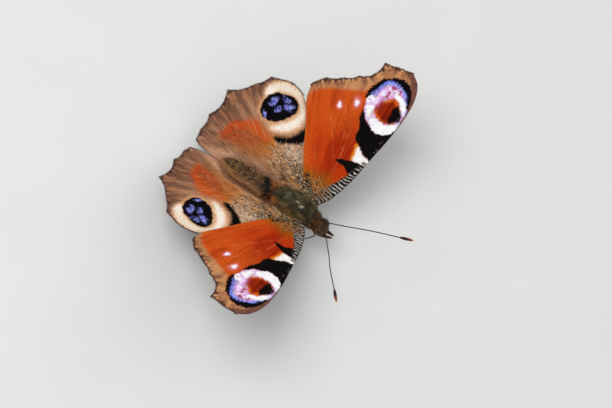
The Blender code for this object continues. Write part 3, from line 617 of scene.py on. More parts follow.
def tuft_mesh(roots, ways, droops, lengths, widths, flats, tints, tips):
    """Closed tapered tufts of three sides, and each point's place across and along its tuft."""
    stations = np.array(TUFT_STATIONS)
    count = len(roots)
    stretch = stations[None, :, None] * ways[:, None] + stations[None, :, None] ** 2 * droops[:, None]
    middle = roots[:, None] + stretch * lengths[:, None, None]
    tangent = unit(ways[:, None] + 2 * stations[None, :, None] * droops[:, None])
    across = unit(np.cross(tangent, flats[:, None]))
    upright = np.cross(across, tangent)
    half = widths[:, None] / 2 * np.array(TUFT_THICKNESS)
    corners = []
    for angle in (math.radians(-30), math.radians(90), math.radians(210)):
        offset = across * math.cos(angle) + upright * (math.sin(angle) * TUFT_FLATNESS)
        corners.append(middle + offset * half[..., None])
    rings = np.stack(corners, 2).reshape(count, 9, 3)
    end = roots + (ways + droops) * lengths[:, None]
    places = np.concatenate([rings, end[:, None]], 1)
    faces = [(0, 1, 2), (7, 6, 9), (8, 7, 9), (6, 8, 9)]
    for ring in (0, 3):
        for side in range(3):
            turn = (side + 1) % 3
            faces.append((ring + turn, ring + side, ring + 3 + turn))
            faces.append((ring + 3 + turn, ring + side, ring + 3 + side))
    faces = np.array(faces)[None] + (np.arange(count) * 10)[:, None, None]
    share = np.append(np.repeat(stations, 3), 1.0)
    paint = tints[:, None] + (tips - tints)[:, None] * share[None, :, None]
    spot = np.stack([np.array([0, 0.5, 1] * 3 + [0.5]), share], -1)
    return places.reshape(-1, 3), faces.reshape(-1, 3), paint.reshape(-1, 3), spot


def tuft_sizes(kind, count, random):
    """Drawn lengths and widths of a coat's tufts."""
    lengths, widths = TUFT_SIZES[kind]
    return random.uniform(*lengths, count), random.uniform(*widths, count)


def add_tufts(name, tufts, unwrap, material, slot, sign=1):
    """One coat piece, clear of the floor. Each tuft has a small patch at its root's place on the unwrap."""
    places, faces, paint, spot = tuft_mesh(*tufts)
    places[:, 2] = np.maximum(places[:, 2], FLOOR_CLEARANCE - STAND_HEIGHT)
    flat = (unwrap[:, None] * MAP_ROOM + spot[None] * PATCH).reshape(-1, 2)
    belongs(add_piece(name, places, faces, material, paint, sign, {"OFBake": flat}), slot)


def scalloped(ends, depths):
    """A finely toothed margin whose stretches between vein ends are each drawn in by a depth."""
    random = dice(5)
    points = []
    for start, end, depth in zip(ends, ends[1:], depths):
        start, end = np.array(start), np.array(end)
        outward = np.array([start[1] - end[1], end[0] - start[0]]) / np.linalg.norm(end - start)
        for step in range(SCALLOP_STEPS):
            share = step / SCALLOP_STEPS
            draw = depth * math.sin(math.pi * share) ** SCALLOP_POWER
            draw = draw + random.uniform(-TOOTH, TOOTH) * (step > 0)
            points.append(start + (end - start) * share - outward * draw)
    return np.array(points + [np.array(ends[-1])])


def vein_paths(veins):
    """Each vein's middle line, with branches starting on a point of their stem."""
    paths = {}
    for name, way in veins.items():
        points = []
        for stop in way:
            if isinstance(stop[0], str):
                stop = resampled(paths[stop[0]], np.array([stop[1]]))[0]
            points.append(stop)
        path = smooth_path(points, 6)
        steps = max(4, round(lengths_along(path)[-1] / VEIN_STEP))
        paths[name] = resampled(path, np.linspace(0, 1, steps))
    return paths


def forewing_bend(out, fore):
    """Height of the forewing over its plane: arched, with its hind edge drooping outward."""
    reach = out / FOREWING_ARCH_REACH
    return FOREWING_ARCH * (reach - reach * reach) + FOREWING_TWIST * out * fore + FOREWING_CUP * fore * fore


def hindwing_bend(out, fore):
    """Height of the hindwing: tucked under the forewing, folded down into a gutter round the abdomen."""
    tuck = np.maximum(0.0, fore - TUCK_FORE + TUCK_SLANT * np.maximum(0.0, out - TUCK_OUT))
    rise = ease((GUTTER_RISE_FORE - fore) / 4.0)
    depth = (GUTTER_DEPTH - GUTTER_RISE * rise) * ease((GUTTER_START_FORE - fore) / 3.0)
    slope = ease((GUTTER_LIP_OUT - GUTTER_LIP_SHIFT * rise - out) / GUTTER_SLOPE_WIDTH)
    return -TUCK_CURVE * tuck * tuck - depth * slope


class Wing:
    """A wing's plane, bend, outline and veins, which turn (out, fore) into body places."""

    def __init__(self, hinge, dihedral, pitch, bend, costa, margin, inner, veins, grid, corners):
        tilt_out = Matrix.Rotation(math.radians(-dihedral), 3, "Y")
        self.turn = np.array(tilt_out @ Matrix.Rotation(math.radians(pitch), 3, "X"))
        self.hinge = np.array(hinge)
        self.bend = bend
        self.costa = smooth_path(costa, 10)
        self.margin = scalloped(*margin)
        self.inner = smooth_path(inner, 10)
        self.veins = vein_paths(veins)
        self.rows, self.columns = grid
        self.corners = corners
        self.outline = np.vstack([self.costa, self.margin[1:], self.inner[::-1][1:]])
        self.low, self.high = self.outline.min(0), self.outline.max(0)

    def middle(self, out, fore):
        """The middle of the flat membrane."""
        return self.hinge + np.stack([out, fore, self.bend(out, fore)], -1) @ self.turn.T

    def up(self, out, fore):
        """The upward normal of the membrane."""
        along = self.middle(out + NORMAL_STEP, fore) - self.middle(out - NORMAL_STEP, fore)
        across = self.middle(out, fore + NORMAL_STEP) - self.middle(out, fore - NORMAL_STEP)
        return unit(np.cross(along, across))

    def pleat(self, out, fore):
        """How far the membrane sags between its veins."""
        return -PLEAT_DEPTH * (1 - np.exp(-(self.vein_gap(out, fore)[0] / PLEAT_REACH) ** 2))

    def root(self, out, fore):
        """How much half the membrane thickens near its hinge."""
        return ROOT_THICKENING / 2 * np.exp(-np.hypot(out, fore * ROOT_FORE_SHARE) / ROOT_REACH)

    def vein_gap(self, out, fore):
        """The distance to the nearest vein, and how far along it that is."""
        best, where = np.full(out.shape, 1e9), np.zeros(out.shape)
        for path in self.veins.values():
            gap, along = to_line(out, fore, path)
            nearer = gap < best
            best, where = np.where(nearer, gap, best), np.where(nearer, along, where)
        return best, where

    def unwrap(self, out, fore):
        """Flat places as shares of a square that holds the wing."""
        flat = np.stack([out, fore], -1) - self.low
        return flat / (self.high - self.low).max()

    def sides(self):
        """The outline's four sides: its inner and outer side, and its start and end across them."""
        rest = np.vstack([self.costa, self.margin[1:]])
        first, last = [np.argmin(np.linalg.norm(rest - corner, axis=1)) for corner in self.corners]
        start = np.vstack([self.inner[:1], rest[:first + 1]])
        return self.inner, rest[first:last + 1], start, rest[last:][::-1]

    def lay(self):
        """The flat places of a grid spanned between the four sides."""
        down = np.linspace(0, 1, self.rows)
        across = np.linspace(0, 1, self.columns)
        inner, outer, start, end = self.sides()
        inner, outer = resampled(inner, down)[:, None], resampled(outer, down)[:, None]
        start, end = resampled(start, across)[None], resampled(end, across)[None]
        down, across = down[:, None, None], across[None, :, None]
        corners = (1 - down) * (start[:, :1] + (start[:, -1:] - start[:, :1]) * across)
        corners = corners + down * (end[:, :1] + (end[:, -1:] - end[:, :1]) * across)
        flat = (1 - across) * inner + across * outer + (1 - down) * start + down * end - corners
        for _ in range(GRID_SMOOTHINGS):
            flat[1:-1, 1:-1] = (flat[:-2, 1:-1] + flat[2:, 1:-1] + flat[1:-1, :-2] + flat[1:-1, 2:]) / 4
        return flat.reshape(-1, 2)


def make_wings():
    """The forewing's and the hindwing's forms."""
    forewing = Wing(FOREWING_HINGE, FOREWING_DIHEDRAL, FOREWING_PITCH, forewing_bend, FOREWING_COSTA,
                    (FOREWING_MARGIN, FOREWING_SCALLOPS), FOREWING_INNER, FOREWING_VEINS, FOREWING_GRID,
                    FOREWING_CORNERS)
    hindwing = Wing(HINDWING_HINGE, HINDWING_DIHEDRAL, HINDWING_PITCH, hindwing_bend, HINDWING_COSTA,
                    (HINDWING_MARGIN, HINDWING_SCALLOPS), HINDWING_INNER, HINDWING_VEINS, HINDWING_GRID,
                    HINDWING_CORNERS)
    return forewing, hindwing


def grain(x, y, seed):
    """Scale-sized jitter of a flat place, which gives painted edges their mosaic look."""
    fine = np.stack([noise(x, y, 0.14, seed), noise(x, y, 0.14, seed + 1)]) - 0.5
    broad = np.stack([noise(x, y, 0.55, seed + 2), noise(x, y, 0.55, seed + 3)]) - 0.5
    shift = fine * 0.2 + broad * 0.22
    return x + shift[0], y + shift[1]


def rays(x, y, width, seed):
    """Streaks that run out from a wing's root."""
    along, across = x - FOREWING_STREAKS_FROM[0], y - FOREWING_STREAKS_FROM[1]
    return noise(np.arctan2(across, along) * 14 / width, np.hypot(across, along) * 0.22, 1.0, seed)


def paint_eyespot(paint, x, y, fine):
    """The forewing's eyespot, from its ground out to the black arc."""
    arc_gap, arc_along = to_line(x, y, smooth_path(EYESPOT_ARC, 5))
    streaks = rays(x, y, 0.22, 31)
    lilac = layered(
        (228, 168, 222),
        ((176, 70, 112), ease((streaks - 0.52) * 5) * ease((3.4 - y) / 0.5)),
        ((248, 236, 252), ease((noise(x, y, 0.4, 35) - 0.5) * 4) * 0.8))
    blue = layered(
        (116, 128, 228),
        ((30, 28, 76), ease((noise(x, y, 0.24, 32) - 0.54) * 7)),
        ((196, 200, 246), ease((fine - 0.66) * 5)))
    ground = over(lilac, blue, ease((1.55 - arc_gap + (fine - 0.5) * 0.9) / 0.7))
    violet = ease((noise(x, y, 0.5, 33) - 0.45) * 3) * ease((1.6 - y) / 2.5)
    ring = over((252, 250, 248), (216, 176, 222), violet * 0.8)
    rim = over((218, 102, 20), (184, 66, 20), ease((streaks - 0.5) * 3))
    core = over((156, 40, 6), (112, 24, 6), ease((streaks - 0.4) * 2))
    disc = patch(x, y, EYESPOT_DISC, 0.1)
    fleck = ease((rays(x, y, 0.14, 34) - 0.55) * 6) * oval(x, y, (20.6, 3.9), (0.8, 0.45, -20.0), 0.2)
    thick = 0.36 + 0.1 * np.sin(arc_along * 0.9) + 0.2 * ease((arc_along - 6.5) / 1.5)
    return layered(
        paint,
        (ground, disc),
        (ring, disc * (1 - patch(x, y, EYESPOT_INSIDE, 0.2))),
        ((252, 251, 250), patch(x, y, FORE_WHITE, 0.14)),
        (rim, patch(x, y, EYESPOT_RIM, 0.18)),
        (core, patch(x, y, EYESPOT_CORE, 0.34)),
        ((158, 46, 62), oval(x, y, (21.0, -0.95), (1.9, 0.38, 6.0), 0.3) * 0.85),
        ((12, 7, 7), patch(x + (streaks - 0.5) * 0.5, y, EYESPOT_SHADE, 0.3)),
        ((236, 232, 230), fleck),
        ((10, 7, 10), ease((thick + 0.08 + (fine - 0.5) * 0.4 - arc_gap) / 0.16)))


def paint_base_dust(paint, out, fore, fine):
    """Golden, black and cream dust near the forewing's root, thinning outward."""
    dust = noise(out, fore, 0.2, 41)
    near = ease((5.8 - out - 0.35 * np.abs(fore + 1.5)) / 4.0)
    wedge = patch(out + (dust - 0.5) * 0.6, fore, DARK_BASE, 0.4)
    return layered(
        paint,
        ((176, 104, 30), near * 0.75),
        ((24, 22, 16), ease(near * 3) * ease((near * 0.5 + wedge * 0.4 + dust - 0.86) * 7)),
        ((206, 172, 124), ease(near * 3) * ease((near * 0.4 + fine - 0.96) * 8)))


def paint_costal_bars(paint, wing, out, fore):
    """Black and cream bars across the front edge as far as the cream patch, and a brown edge beyond."""
    gap, along = to_line(out, fore, wing.costa)
    width = np.interp(along, *COSTAL_BARS_WIDTH)
    wobble = noise(out, fore, 0.5, 51) * 0.5
    wave = np.sin(2 * math.pi * (along / COSTAL_BAR_PITCH + gap * 0.4 + wobble))
    fuzzy = noise(out, fore, 0.2, 52)
    share = np.interp(along, [0.0, 3.0, 5.0], [0.5, 0.8, 1.1]) * (0.35 + 0.65 * ease((width - gap) / 0.6))
    bars = over((14, 12, 12), (202, 197, 187), ease(-0.08 + wave * share + (fuzzy - 0.5) * 0.9))
    rim = over((98, 80, 64), (34, 28, 24), ease((ripple(along, 0.16, 53) - 0.4) * 5))
    brown = layered(
        (64, 42, 36),
        ((126, 80, 64), ease((along - 19) / 6)),
        ((62, 42, 38), ease((noise(along * 0.25, gap, 0.14, 54) - 0.5) * 4) * 0.8))
    left, beyond = COSTAL_BARS_END - along, along - COSTAL_BARS_END
    return layered(
        paint,
        (bars, ease((width + (fuzzy - 0.5) * 0.7 - gap) / 0.25) * ease(left / 0.5)),
        (rim, ease((0.22 - gap) / 0.12) * ease(left / 0.8) * 0.85),
        (brown, ease((np.interp(along, *COSTAL_BROWN_WIDTH) - gap) / 0.3) * ease(beyond / 0.6)))


def paint_margin(paint, wing, out, fore, tones, reach):
    """A dark outer edge, with fine brown and tan lines running in from it."""
    tan, brown, edge = tones
    gap, along = to_line(out, fore, wing.margin)
    lines = noise(along, gap * 0.12, 0.17, 61) * 0.6 + noise(along, gap * 0.1, 0.4, 62) * 0.4
    inward = ease(1 - gap / reach)
    broken = 0.45 + 0.55 * ease((ripple(along, 2.0, 63) - 0.25) * 2)
    return layered(
        paint,
        (brown, inward * ease((lines - 0.4) * 4.5)),
        (tan, inward * ease((0.4 - lines) * 5) * 0.7),
        (edge, ease((0.3 + (lines - 0.5) - gap) / 0.22) * broken))


def paint_forewing(wing, out, fore):
    """Colours of the forewing's upper face."""
    x, y = grain(out, fore, 1)
    fine = noise(out, fore, 0.13, 11)
    streaks = rays(out, fore, 0.3, 12)
    inner_gap = to_line(out, fore, wing.inner)[0]
    vein_gap = wing.vein_gap(out, fore)[0]
    rim = np.maximum(ease(1 - inner_gap / 2.2), ease((out - 11.5 - fore * 0.5) / 7) * 0.65)
    patchy = ease((noise(out, fore, 1.3, 17) - 0.35) * 2)
    # Pale lines along the veins: partly their own colour, partly a painted highlight on their raised tops
    pale_veins_and_highlight = np.exp(-(vein_gap / 0.13) ** 2) * ease((out - 4) / 4) * (0.1 + 0.5 * fine) * patchy
    tan = over((202, 140, 93), (174, 116, 78), ease(streaks * 1.5 - 0.3))
    paint = layered(
        (166, 40, 8),
        ((194, 64, 14), ease(rays(out, fore, 1.1, 13) * 1.5 - 0.25)),
        ((216, 94, 28), rim * 0.75),
        ((188, 92, 34), ease(1 - inner_gap / 0.7) * 0.6),
        ((150, 84, 16), ease((7.6 - out + 0.4 * fore) / 3.2) * 0.9),
        ((190, 54, 8), oval(x, y, (6.8, 0.8), (2.1, 1.1, 12.0), 0.7) * 0.7),
        ((148, 34, 6), ease((streaks - 0.58) * 3) * 0.4),
        ((222, 112, 54), ease((rays(out, fore, 0.2, 14) - 0.7) * 5) * 0.1),
        ((230, 136, 84), pale_veins_and_highlight),
        (tan, patch(x, y, MARGIN_BAND, 0.5)))
    paint = paint_margin(paint, wing, out, fore, FOREWING_EDGE_TONES, 2.1)
    black = over((8, 6, 6), (22, 16, 14), ease((fine - 0.5) * 2))
    fleck = ease((noise(out, fore, 0.2, 15) - 0.8) * 8) * oval(x, y, (14.6, 3.5), (2.6, 0.45, 4.0), 0.2)
    paint = layered(
        paint,
        ((120, 74, 64), oval(x, y, (27.2, 2.3), (3.2, 0.9, -38.0), 0.5) * 0.8),
        ((240, 146, 26), patch(x, y, AMBER_PATCH, 0.45)),
        ((251, 248, 244), patch(x, y, CREAM_PATCH, 0.25)),
        (black, patch(x, y, CELL_BLOTCH, 0.1)),
        (black, patch(x, y, COSTAL_BLOTCH, 0.1)),
        ((150, 130, 126), fleck * 0.8))
    paint = paint_eyespot(paint, x, y, fine)
    for centre, size in SPOT_HALO.items():
        paint = over(paint, (226, 124, 126), oval(x, y, centre, size, 0.35) * 0.7)
    for centre, size in WHITE_SPOTS.items():
        paint = over(paint, (246, 240, 252), oval(x, y, centre, size, 0.16))
    paint = paint_base_dust(paint, out, fore, fine)
    paint = paint_costal_bars(paint, wing, out, fore)
    return paint * (0.86 + 0.28 * noise(out, fore, 0.16, 16))[:, None]


def paint_ocellus(paint, x, y, fine):
    """The hindwing's eyespot, its cream ring and the black crescent beside it."""
    tan = over((220, 164, 116), (194, 144, 108), ease((noise(x, y, 0.7, 71) - 0.4) * 2))
    cream = over((252, 238, 222), (240, 222, 200), ease((x - 12.0) / 2.5))
    blue = over((88, 94, 200), (172, 172, 240), ease(fine * 1.5 - 0.3))
    paint = layered(
        paint,
        (tan, patch(x, y, OCELLUS_RING, 0.45)),
        ((238, 196, 158), patch(x, y, OCELLUS_CREAM, 1.0)),
        (cream, patch(x, y, OCELLUS_CREAM, 0.5)),
        ((13, 9, 8), patch(x, y, BLACK_CRESCENT, 0.22 + 0.25 * noise(x, y * 0.25, 0.16, 73))),
        ((8, 6, 9), patch(x, y, OCELLUS, 0.12)))
    mottle = 0.1 + 0.9 * ease((noise(x, y, 0.22, 72) - 0.32) * 5)
    x, y = [place + (noise(x, y, 0.6, seed) - 0.5) * 0.7 for place, seed in ((x, 74), (y, 75))]
    for points in OCELLUS_BLUES:
        paint = over(paint, blue, patch(x, y, points, 0.24) * mottle)
    return paint


def paint_hindwing(wing, out, fore):
    """Colours of the hindwing's upper face."""
    x, y = grain(out, fore, 81)
    fine = noise(out, fore, 0.13, 91)
    along, across = out - HINDWING_STREAKS_FROM[0], HINDWING_STREAKS_FROM[1] - fore
    turn, reach = np.arctan2(across, along), np.hypot(across, along)
    away = ease((reach - 4) / 3)
    streaks = noise(turn * 40, reach * 0.2, 1.0, 92)
    hairs = noise(turn * 90, reach * 0.35, 1.0, 93)
    sides = (wing.inner, wing.margin, wing.costa)
    inner_gap, margin_gap, costa_gap = [to_line(out, fore, side)[0] for side in sides]
    vein_gap = wing.vein_gap(out, fore)[0]
    gutter_out = np.interp(fore, GUTTER_FORE, GUTTER_OUT)
    gutter = np.exp(-((out - gutter_out) / 0.85) ** 2) * ease((-fore - 1.5) / 3)
    # The crease beside the abdomen is painted orange-brown like the hair there, lightened to offset the shade
    # that falls in it: partly painted light
    crease = ease((gutter_out - 0.6 - out) / 0.8) * ease((fore + 16) / 2)
    mauve = over((184, 136, 106), (224, 178, 144), streaks)
    base = patch(x, y, SPECKLED_BASE, 1.1)
    dark = noise(out, fore, 0.2, 94) * 0.6 + noise(out, fore, 0.45, 95) * 0.4
    depth = ease(1 - np.hypot(out - 2.0, fore + 2.0) / 6.0)
    paint = layered(
        (130, 90, 68),
        ((174, 128, 98), ease(streaks * 1.4 - 0.2)),
        ((104, 70, 54), np.exp(-(vein_gap / 0.4) ** 2) * ease((-fore - 13) / 4) * 0.7),
        ((100, 68, 52), ease(1 - margin_gap / 3.6) * ease((out + 1.5) / 5) * 0.9),
        ((172, 128, 100), ease(1 - inner_gap / 2.2) * 0.8),
        ((190, 110, 50), patch(x, y, GOLDEN_FIELD, 1.3)),
        ((194, 84, 32), patch(x, y, ORANGE_PATCH, 0.8)),
        ((200, 70, 18), patch(x, y, ORANGE_HEART, 0.8) * 0.7),
        ((198, 132, 88), ease((hairs - 0.55) * 4) * 0.45 * away),
        ((112, 66, 36), ease((0.4 - hairs) * 4) * 0.4 * away),
        # Painted shadow: a dark line along the inner edge behind the abdomen's tip, where the two hindwings
        # meet
        ((66, 46, 36), ease(1 - inner_gap / 0.3) * ease((-fore - 13) / 2) * 0.8),
        (mauve, gutter * ease((fore + 19) / 3)),
        # Painted light in the crease: its orange-brown is lightened against the shade there
        ((170, 118, 82), crease * 0.7),
        ((194, 144, 98), base),
        ((214, 186, 158), patch(x, y, PALE_BASE, 1.0) * 0.6),
        ((200, 116, 36), patch(x, y, GOLDEN_RIM, 0.9) * (0.3 + 0.6 * streaks)),
        ((30, 24, 20), base * ease((dark + depth * 0.22 - 0.56) * 9)),
        ((238, 214, 180), base * ease((fine - 0.64) * 8) * 0.85),
        ((206, 130, 40), base * ease((noise(out, fore, 0.3, 96) - 0.66) * 8) * 0.6))
    paint = paint_margin(paint, wing, out, fore, HINDWING_EDGE_TONES, 1.6)
    paint = over(paint, (120, 88, 70), ease(1 - costa_gap / 0.9) * ease((out - 9) / 3))
    paint = paint_ocellus(paint, x, y, fine)
    return paint * (0.86 + 0.28 * noise(out, fore, 0.16, 97))[:, None]


def paint_underside(wing, out, fore):
    """Colours of a wing's lower face: near black, with fine wavy lines and a paler outer field."""
    reach = np.hypot(out - UNDERSIDE_WAVES_FROM[0], fore - UNDERSIDE_WAVES_FROM[1])
    margin_gap = to_line(out, fore, wing.margin)[0]
    wave = noise(out, fore, 1.3, 101) * 2.6 + noise(out, fore, 0.4, 102) * 0.7
    lines = ease(np.sin(reach * 9 + wave * 3.2) * 0.8 + noise(out, fore, 0.25, 103) - 0.3)
    outer = ease((5.6 - margin_gap + (noise(out, fore, 1.1, 104) - 0.5) * 3.0) / 1.0)
    return layered(
        (34, 26, 23),
        ((70, 56, 47), lines),
        (over((64, 50, 42), (112, 94, 78), lines), outer * 0.8),
        ((24, 18, 17), ease(1 - margin_gap / 0.7) * 0.8),
        ((196, 182, 160), ease((noise(out, fore, 0.16, 105) - 0.86) * 12) * 0.5))


def make_wing_pair(kind, wing, painter, material):
    """Both wings of a pair, with raised veins and pleats, painted on both faces."""
    out, fore = wing.lay().T
    vein_gap, vein_along = wing.vein_gap(out, fore)
    costa_gap, costa_along = to_line(out, fore, wing.costa)
    other_gaps = [to_line(out, fore, side)[0] for side in (wing.margin, wing.inner)]
    edge = np.minimum.reduce([costa_gap, *other_gaps])
    half = MEMBRANE_THICKNESS / 2 * (EDGE_THINNESS + (1 - EDGE_THINNESS) * ease(edge / EDGE_THINNING))
    half = half + wing.root(out, fore)
    ridge = VEIN_HEIGHT * np.exp(-(vein_gap / VEIN_HALF_WIDTH) ** 2) * np.exp(-vein_along / VEIN_FADE)
    costa_ridge = COSTA_RIDGE * np.exp(-(costa_gap / COSTA_RIDGE_HALF_WIDTH) ** 2)
    ridge = np.maximum(ridge, costa_ridge * np.exp(-costa_along / COSTA_RIDGE_FADE))
    pleat = wing.pleat(out, fore) * ease(edge / PLEAT_EDGE)
    middle, up = wing.middle(out, fore), wing.up(out, fore)
    upper = middle + up * (pleat + half + ridge)[:, None]
    lower = middle + up * (pleat - half - ridge)[:, None]
    rows, columns, count = wing.rows, wing.columns, len(out)
    top = split_quads(grid_quads(rows, columns)[:, [0, 3, 2, 1]])
    rim = np.concatenate([
        np.arange(columns),
        np.arange(2, rows + 1) * columns - 1,
        (rows - 1) * columns + np.arange(columns - 2, -1, -1),
        np.arange(rows - 2, -1, -1) * columns])
    rim_quads = np.stack([rim[:-1], rim[1:], rim[1:] + count, rim[:-1] + count], -1)
    faces = np.vstack([top, top[:, ::-1] + count, split_quads(rim_quads)])
    tint = np.vstack([painter(wing, out, fore), paint_underside(wing, out, fore)])
    flat = np.stack([out, fore], -1)
    share = (flat - flat.min(0)) / (flat.max(0) - flat.min(0))
    halves = np.vstack([share * (1, 0.49), share * (1, 0.49) + (0, 0.5)])
    maps = {"Wing": np.tile(flat / WING_MAP_SIZE, (2, 1)), "OFBake": halves}
    for label, sign in SIDES.items():
        name = kind + "_membrane_" + label
        item = add_piece(name, np.vstack([upper, lower]), faces, material, tint, sign, maps)
        belongs(item, kind, kind + "_" + label)


def thorax_swell(share):
    """How full the thorax is at a share of its half length from its middle."""
    power = np.where(share > 0, 2.5, 3.0)
    return np.maximum(1 - np.abs(share) ** power, 0) ** (1 / THORAX_ROUNDNESS)


def thorax_section(ahead):
    """Half width, half height and middle height of the thorax's skin."""
    share = (ahead - THORAX_MIDDLE_AHEAD) / THORAX_HALF_LENGTH
    swell = thorax_swell(share)
    for groove in (COLLAR_GROOVE_AHEAD, SCUTELLUM_GROOVE_AHEAD):
        swell = swell * (1 - GROOVE_DEPTH * np.exp(-((ahead - groove) / GROOVE_HALF_WIDTH) ** 2))
    half_width = np.maximum(THORAX_HALF_WIDTH * swell - SKIN_DEPTH, 0)
    half_height = np.maximum(THORAX_HALF_HEIGHT * swell - SKIN_DEPTH, 0)
    return half_width, half_height, -THORAX_END_DROP * share * share


def abdomen_section(ahead):
    """Half width, half height and middle height of the abdomen's skin."""
    back = (WAIST_AHEAD - ahead) / (WAIST_AHEAD - ABDOMEN_TIP_AHEAD)
    part = np.clip(back, 0, 1)
    step = (part * ABDOMEN_SEGMENTS) % 1.0
    swell = 0.68 + 0.32 * np.sin(math.pi * np.minimum(part / 0.85, 1.0) / 1.5)
    swell = swell * (1 - part ** 4.5) ** 0.5 * (0.96 + 0.07 * step) * ease(1 + back * 9)
    middle = ABDOMEN_TIP_UP * part - ABDOMEN_START_DROP * (1 - part) - ABDOMEN_SAG * np.sin(math.pi * part)
    depth = ABDOMEN_COAT_SHARE * swell
    return ABDOMEN_HALF_WIDTH * swell - depth, ABDOMEN_HALF_HEIGHT * swell - depth, middle


def head_section(ahead):
    """Half width, half height and middle height of the head's skin."""
    front = (ahead - HEAD_START_AHEAD) / HEAD_LENGTH
    lean = np.clip(2 * front - 1, -1.08, 1.08)
    swell = np.maximum(1 - np.abs(lean) ** 3.0 * 0.85, 0) ** 0.5 * ease((1.06 - np.abs(lean)) / 0.12)
    half_width, half_height = HEAD_HALF_WIDTH - HEAD_SKIN_DEPTH[0], HEAD_HALF_HEIGHT - HEAD_SKIN_DEPTH[1]
    return half_width * swell, half_height * swell, HEAD_MIDDLE_UP - 0.15 * front


def body_section(ahead):
    """Half width, half height and middle height of the body's skin at places along it."""
    neck = NECK_RADIUS * np.exp(-((ahead - HEAD_START_AHEAD) / 0.6) ** 4)
    parts = (thorax_section(ahead), abdomen_section(ahead), head_section(ahead), (neck, neck, -0.5))
    width = sum(part[0] ** SECTION_BLEND for part in parts) ** (1 / SECTION_BLEND)
    height = sum(part[1] ** SECTION_BLEND for part in parts) ** (1 / SECTION_BLEND)
    weights = [part[1] ** MIDDLE_BLEND + 1e-9 for part in parts]
    middle = sum(part[2] * weight for part, weight in zip(parts, weights)) / sum(weights)
    return width, height, middle


def body_place(ahead, angle):
    """A place on the body's skin, at an angle round it from its left side up."""
    width, height, middle = body_section(ahead)
    cosine, sine = np.cos(angle), np.sin(angle)
    side = np.sign(cosine) * np.abs(cosine) ** (2 / SKIN_ROUNDNESS) * width
    up = middle + np.sign(sine) * np.abs(sine) ** (2 / SKIN_ROUNDNESS) * height
    return np.stack([side, ahead, up], -1)


def body_frame(ahead, angle):
    """The place, the outward normal and the backward direction on the body's skin."""
    step = 0.04
    back = body_place(ahead - step, angle) - body_place(ahead + step, angle)
    round_it = body_place(ahead, angle + step) - body_place(ahead, angle - step)
    return body_place(ahead, angle), unit(np.cross(round_it, back)), unit(back)


def body_unwrap(ahead, angle):
    """The body's skin laid flat: round it one way and along it the other."""
    return np.stack([(angle % (2 * math.pi)) / (2 * math.pi), (ahead - BODY_MAP_START) / BODY_MAP_LENGTH], -1)


def body_noise(ahead, angle, size, seed):
    """Smooth noise from 0 to 1 over the body's skin."""
    return noise(ahead + 20, angle * 2.2, size, seed)


def body_tint(ahead, angle):
    """The body's own colour: olive-black thorax, orange-brown collar, dark abdomen and brown head."""
    lift, side = np.sin(angle), np.cos(angle) * body_section(ahead)[0]
    mottle = body_noise(ahead, angle, 0.8, 111)
    blotch = mottle * 0.5 + body_noise(ahead, angle, 0.4, 112) * 0.5
    disc = np.hypot(ahead - SCUTELLUM_MIDDLE[1], side - SCUTELLUM_MIDDLE[0])
    flank = over((70, 54, 32), (128, 92, 52), mottle)
    collar = over((44, 30, 18), (122, 72, 30), ease(blotch * 2 - 0.5))
    thorax = layered(
        (33, 30, 19),
        ((94, 84, 55), ease(blotch * 2.6 - 0.75)),
        ((104, 104, 84), ease((0.85 - disc) / 0.4) * 0.75),
        ((18, 17, 13), np.exp(-((disc - 1.0) / 0.2) ** 2) * 0.85),
        (flank, ease((0.55 - lift) / 0.5)),
        ((54, 42, 32), ease((-lift - 0.1) / 0.5)),
        (collar, ease((ahead - 3.4) / 0.8) * 0.85),
        ((20, 15, 12), np.exp(-((ahead - COLLAR_GROOVE_AHEAD) / 0.22) ** 2) * 0.7))
    band = ((WAIST_AHEAD - ahead) / ABDOMEN_BAND) % 1.0
    slant = ahead - BLACK_TUFT_AHEAD + BLACK_TUFT_SLANT * np.clip(side, -2.0, 0.9)
    abdomen = layered(
        (43, 35, 28),
        ((106, 81, 56), ease((band - 0.55) / 0.3)),
        ((158, 112, 74), ease((0.5 - 0.35 * np.cos(angle) - lift) / 0.5) * 0.85),
        ((80, 62, 46), ease((-lift - 0.3) / 0.5)),
        ((148, 92, 42), ease((slant + 0.6) / 0.8) * 0.8),
        ((16, 14, 12), np.exp(-(slant / 0.78) ** 4) * ease((lift + 0.45) / 0.3)))
    head = over((34, 26, 21), (106, 84, 62), ease(blotch * 2.8 - 0.9))
    return layered(
        thorax,
        (abdomen, ease((WAIST_AHEAD + 0.9 - ahead) / 0.8)),
        (head, ease((ahead - 5.0) / 0.5)))


def make_body_skin(material):
    """One skin for thorax, abdomen and head, inside them by the coat's depth."""
    front, tip = HEAD_START_AHEAD + HEAD_LENGTH + 0.05, ABDOMEN_TIP_AHEAD + 0.02
    share = np.linspace(0, 1, BODY_RINGS)
    eased = 0.5 - 0.5 * np.cos(math.pi * share)
    ahead = front + (tip - front) * eased * 0.35 + (tip - front) * share * 0.65
    angle = 2 * math.pi * np.arange(BODY_SIDES) / BODY_SIDES
    ahead, angle = [part.ravel() for part in np.meshgrid(ahead, angle, indexing="ij")]
    places = body_place(ahead, angle)
    places = np.vstack([places, places[:BODY_SIDES].mean(0), places[-BODY_SIDES:].mean(0)])
    tint = body_tint(ahead, angle) * SKIN_SHADE
    tint = np.vstack([tint, tint[:1], tint[-1:]])
    skin = add_piece("body_skin", places, closed_faces(BODY_RINGS, BODY_SIDES), material, tint)
    belongs(skin, "fur", "thorax", "abdomen", "head")


def body_roots(count, low, high, random):
    """Places spread evenly over the skin between two places along it."""
    ahead = random.uniform(low, high, count * 5)
    angle = random.uniform(0, 2 * math.pi, count * 5)
    width, height, _ = body_section(ahead)
    girth = np.hypot(width * np.sin(angle), height * np.cos(angle))
    kept = np.flatnonzero(random.random(count * 5) < girth / girth.max())[:count]
    return ahead[kept], angle[kept]


def varied(tint, random, spread=0.3):
    """Colours made a little lighter or darker, hair by hair."""
    return tint * np.exp(random.normal(0, spread, len(tint)))[:, None]


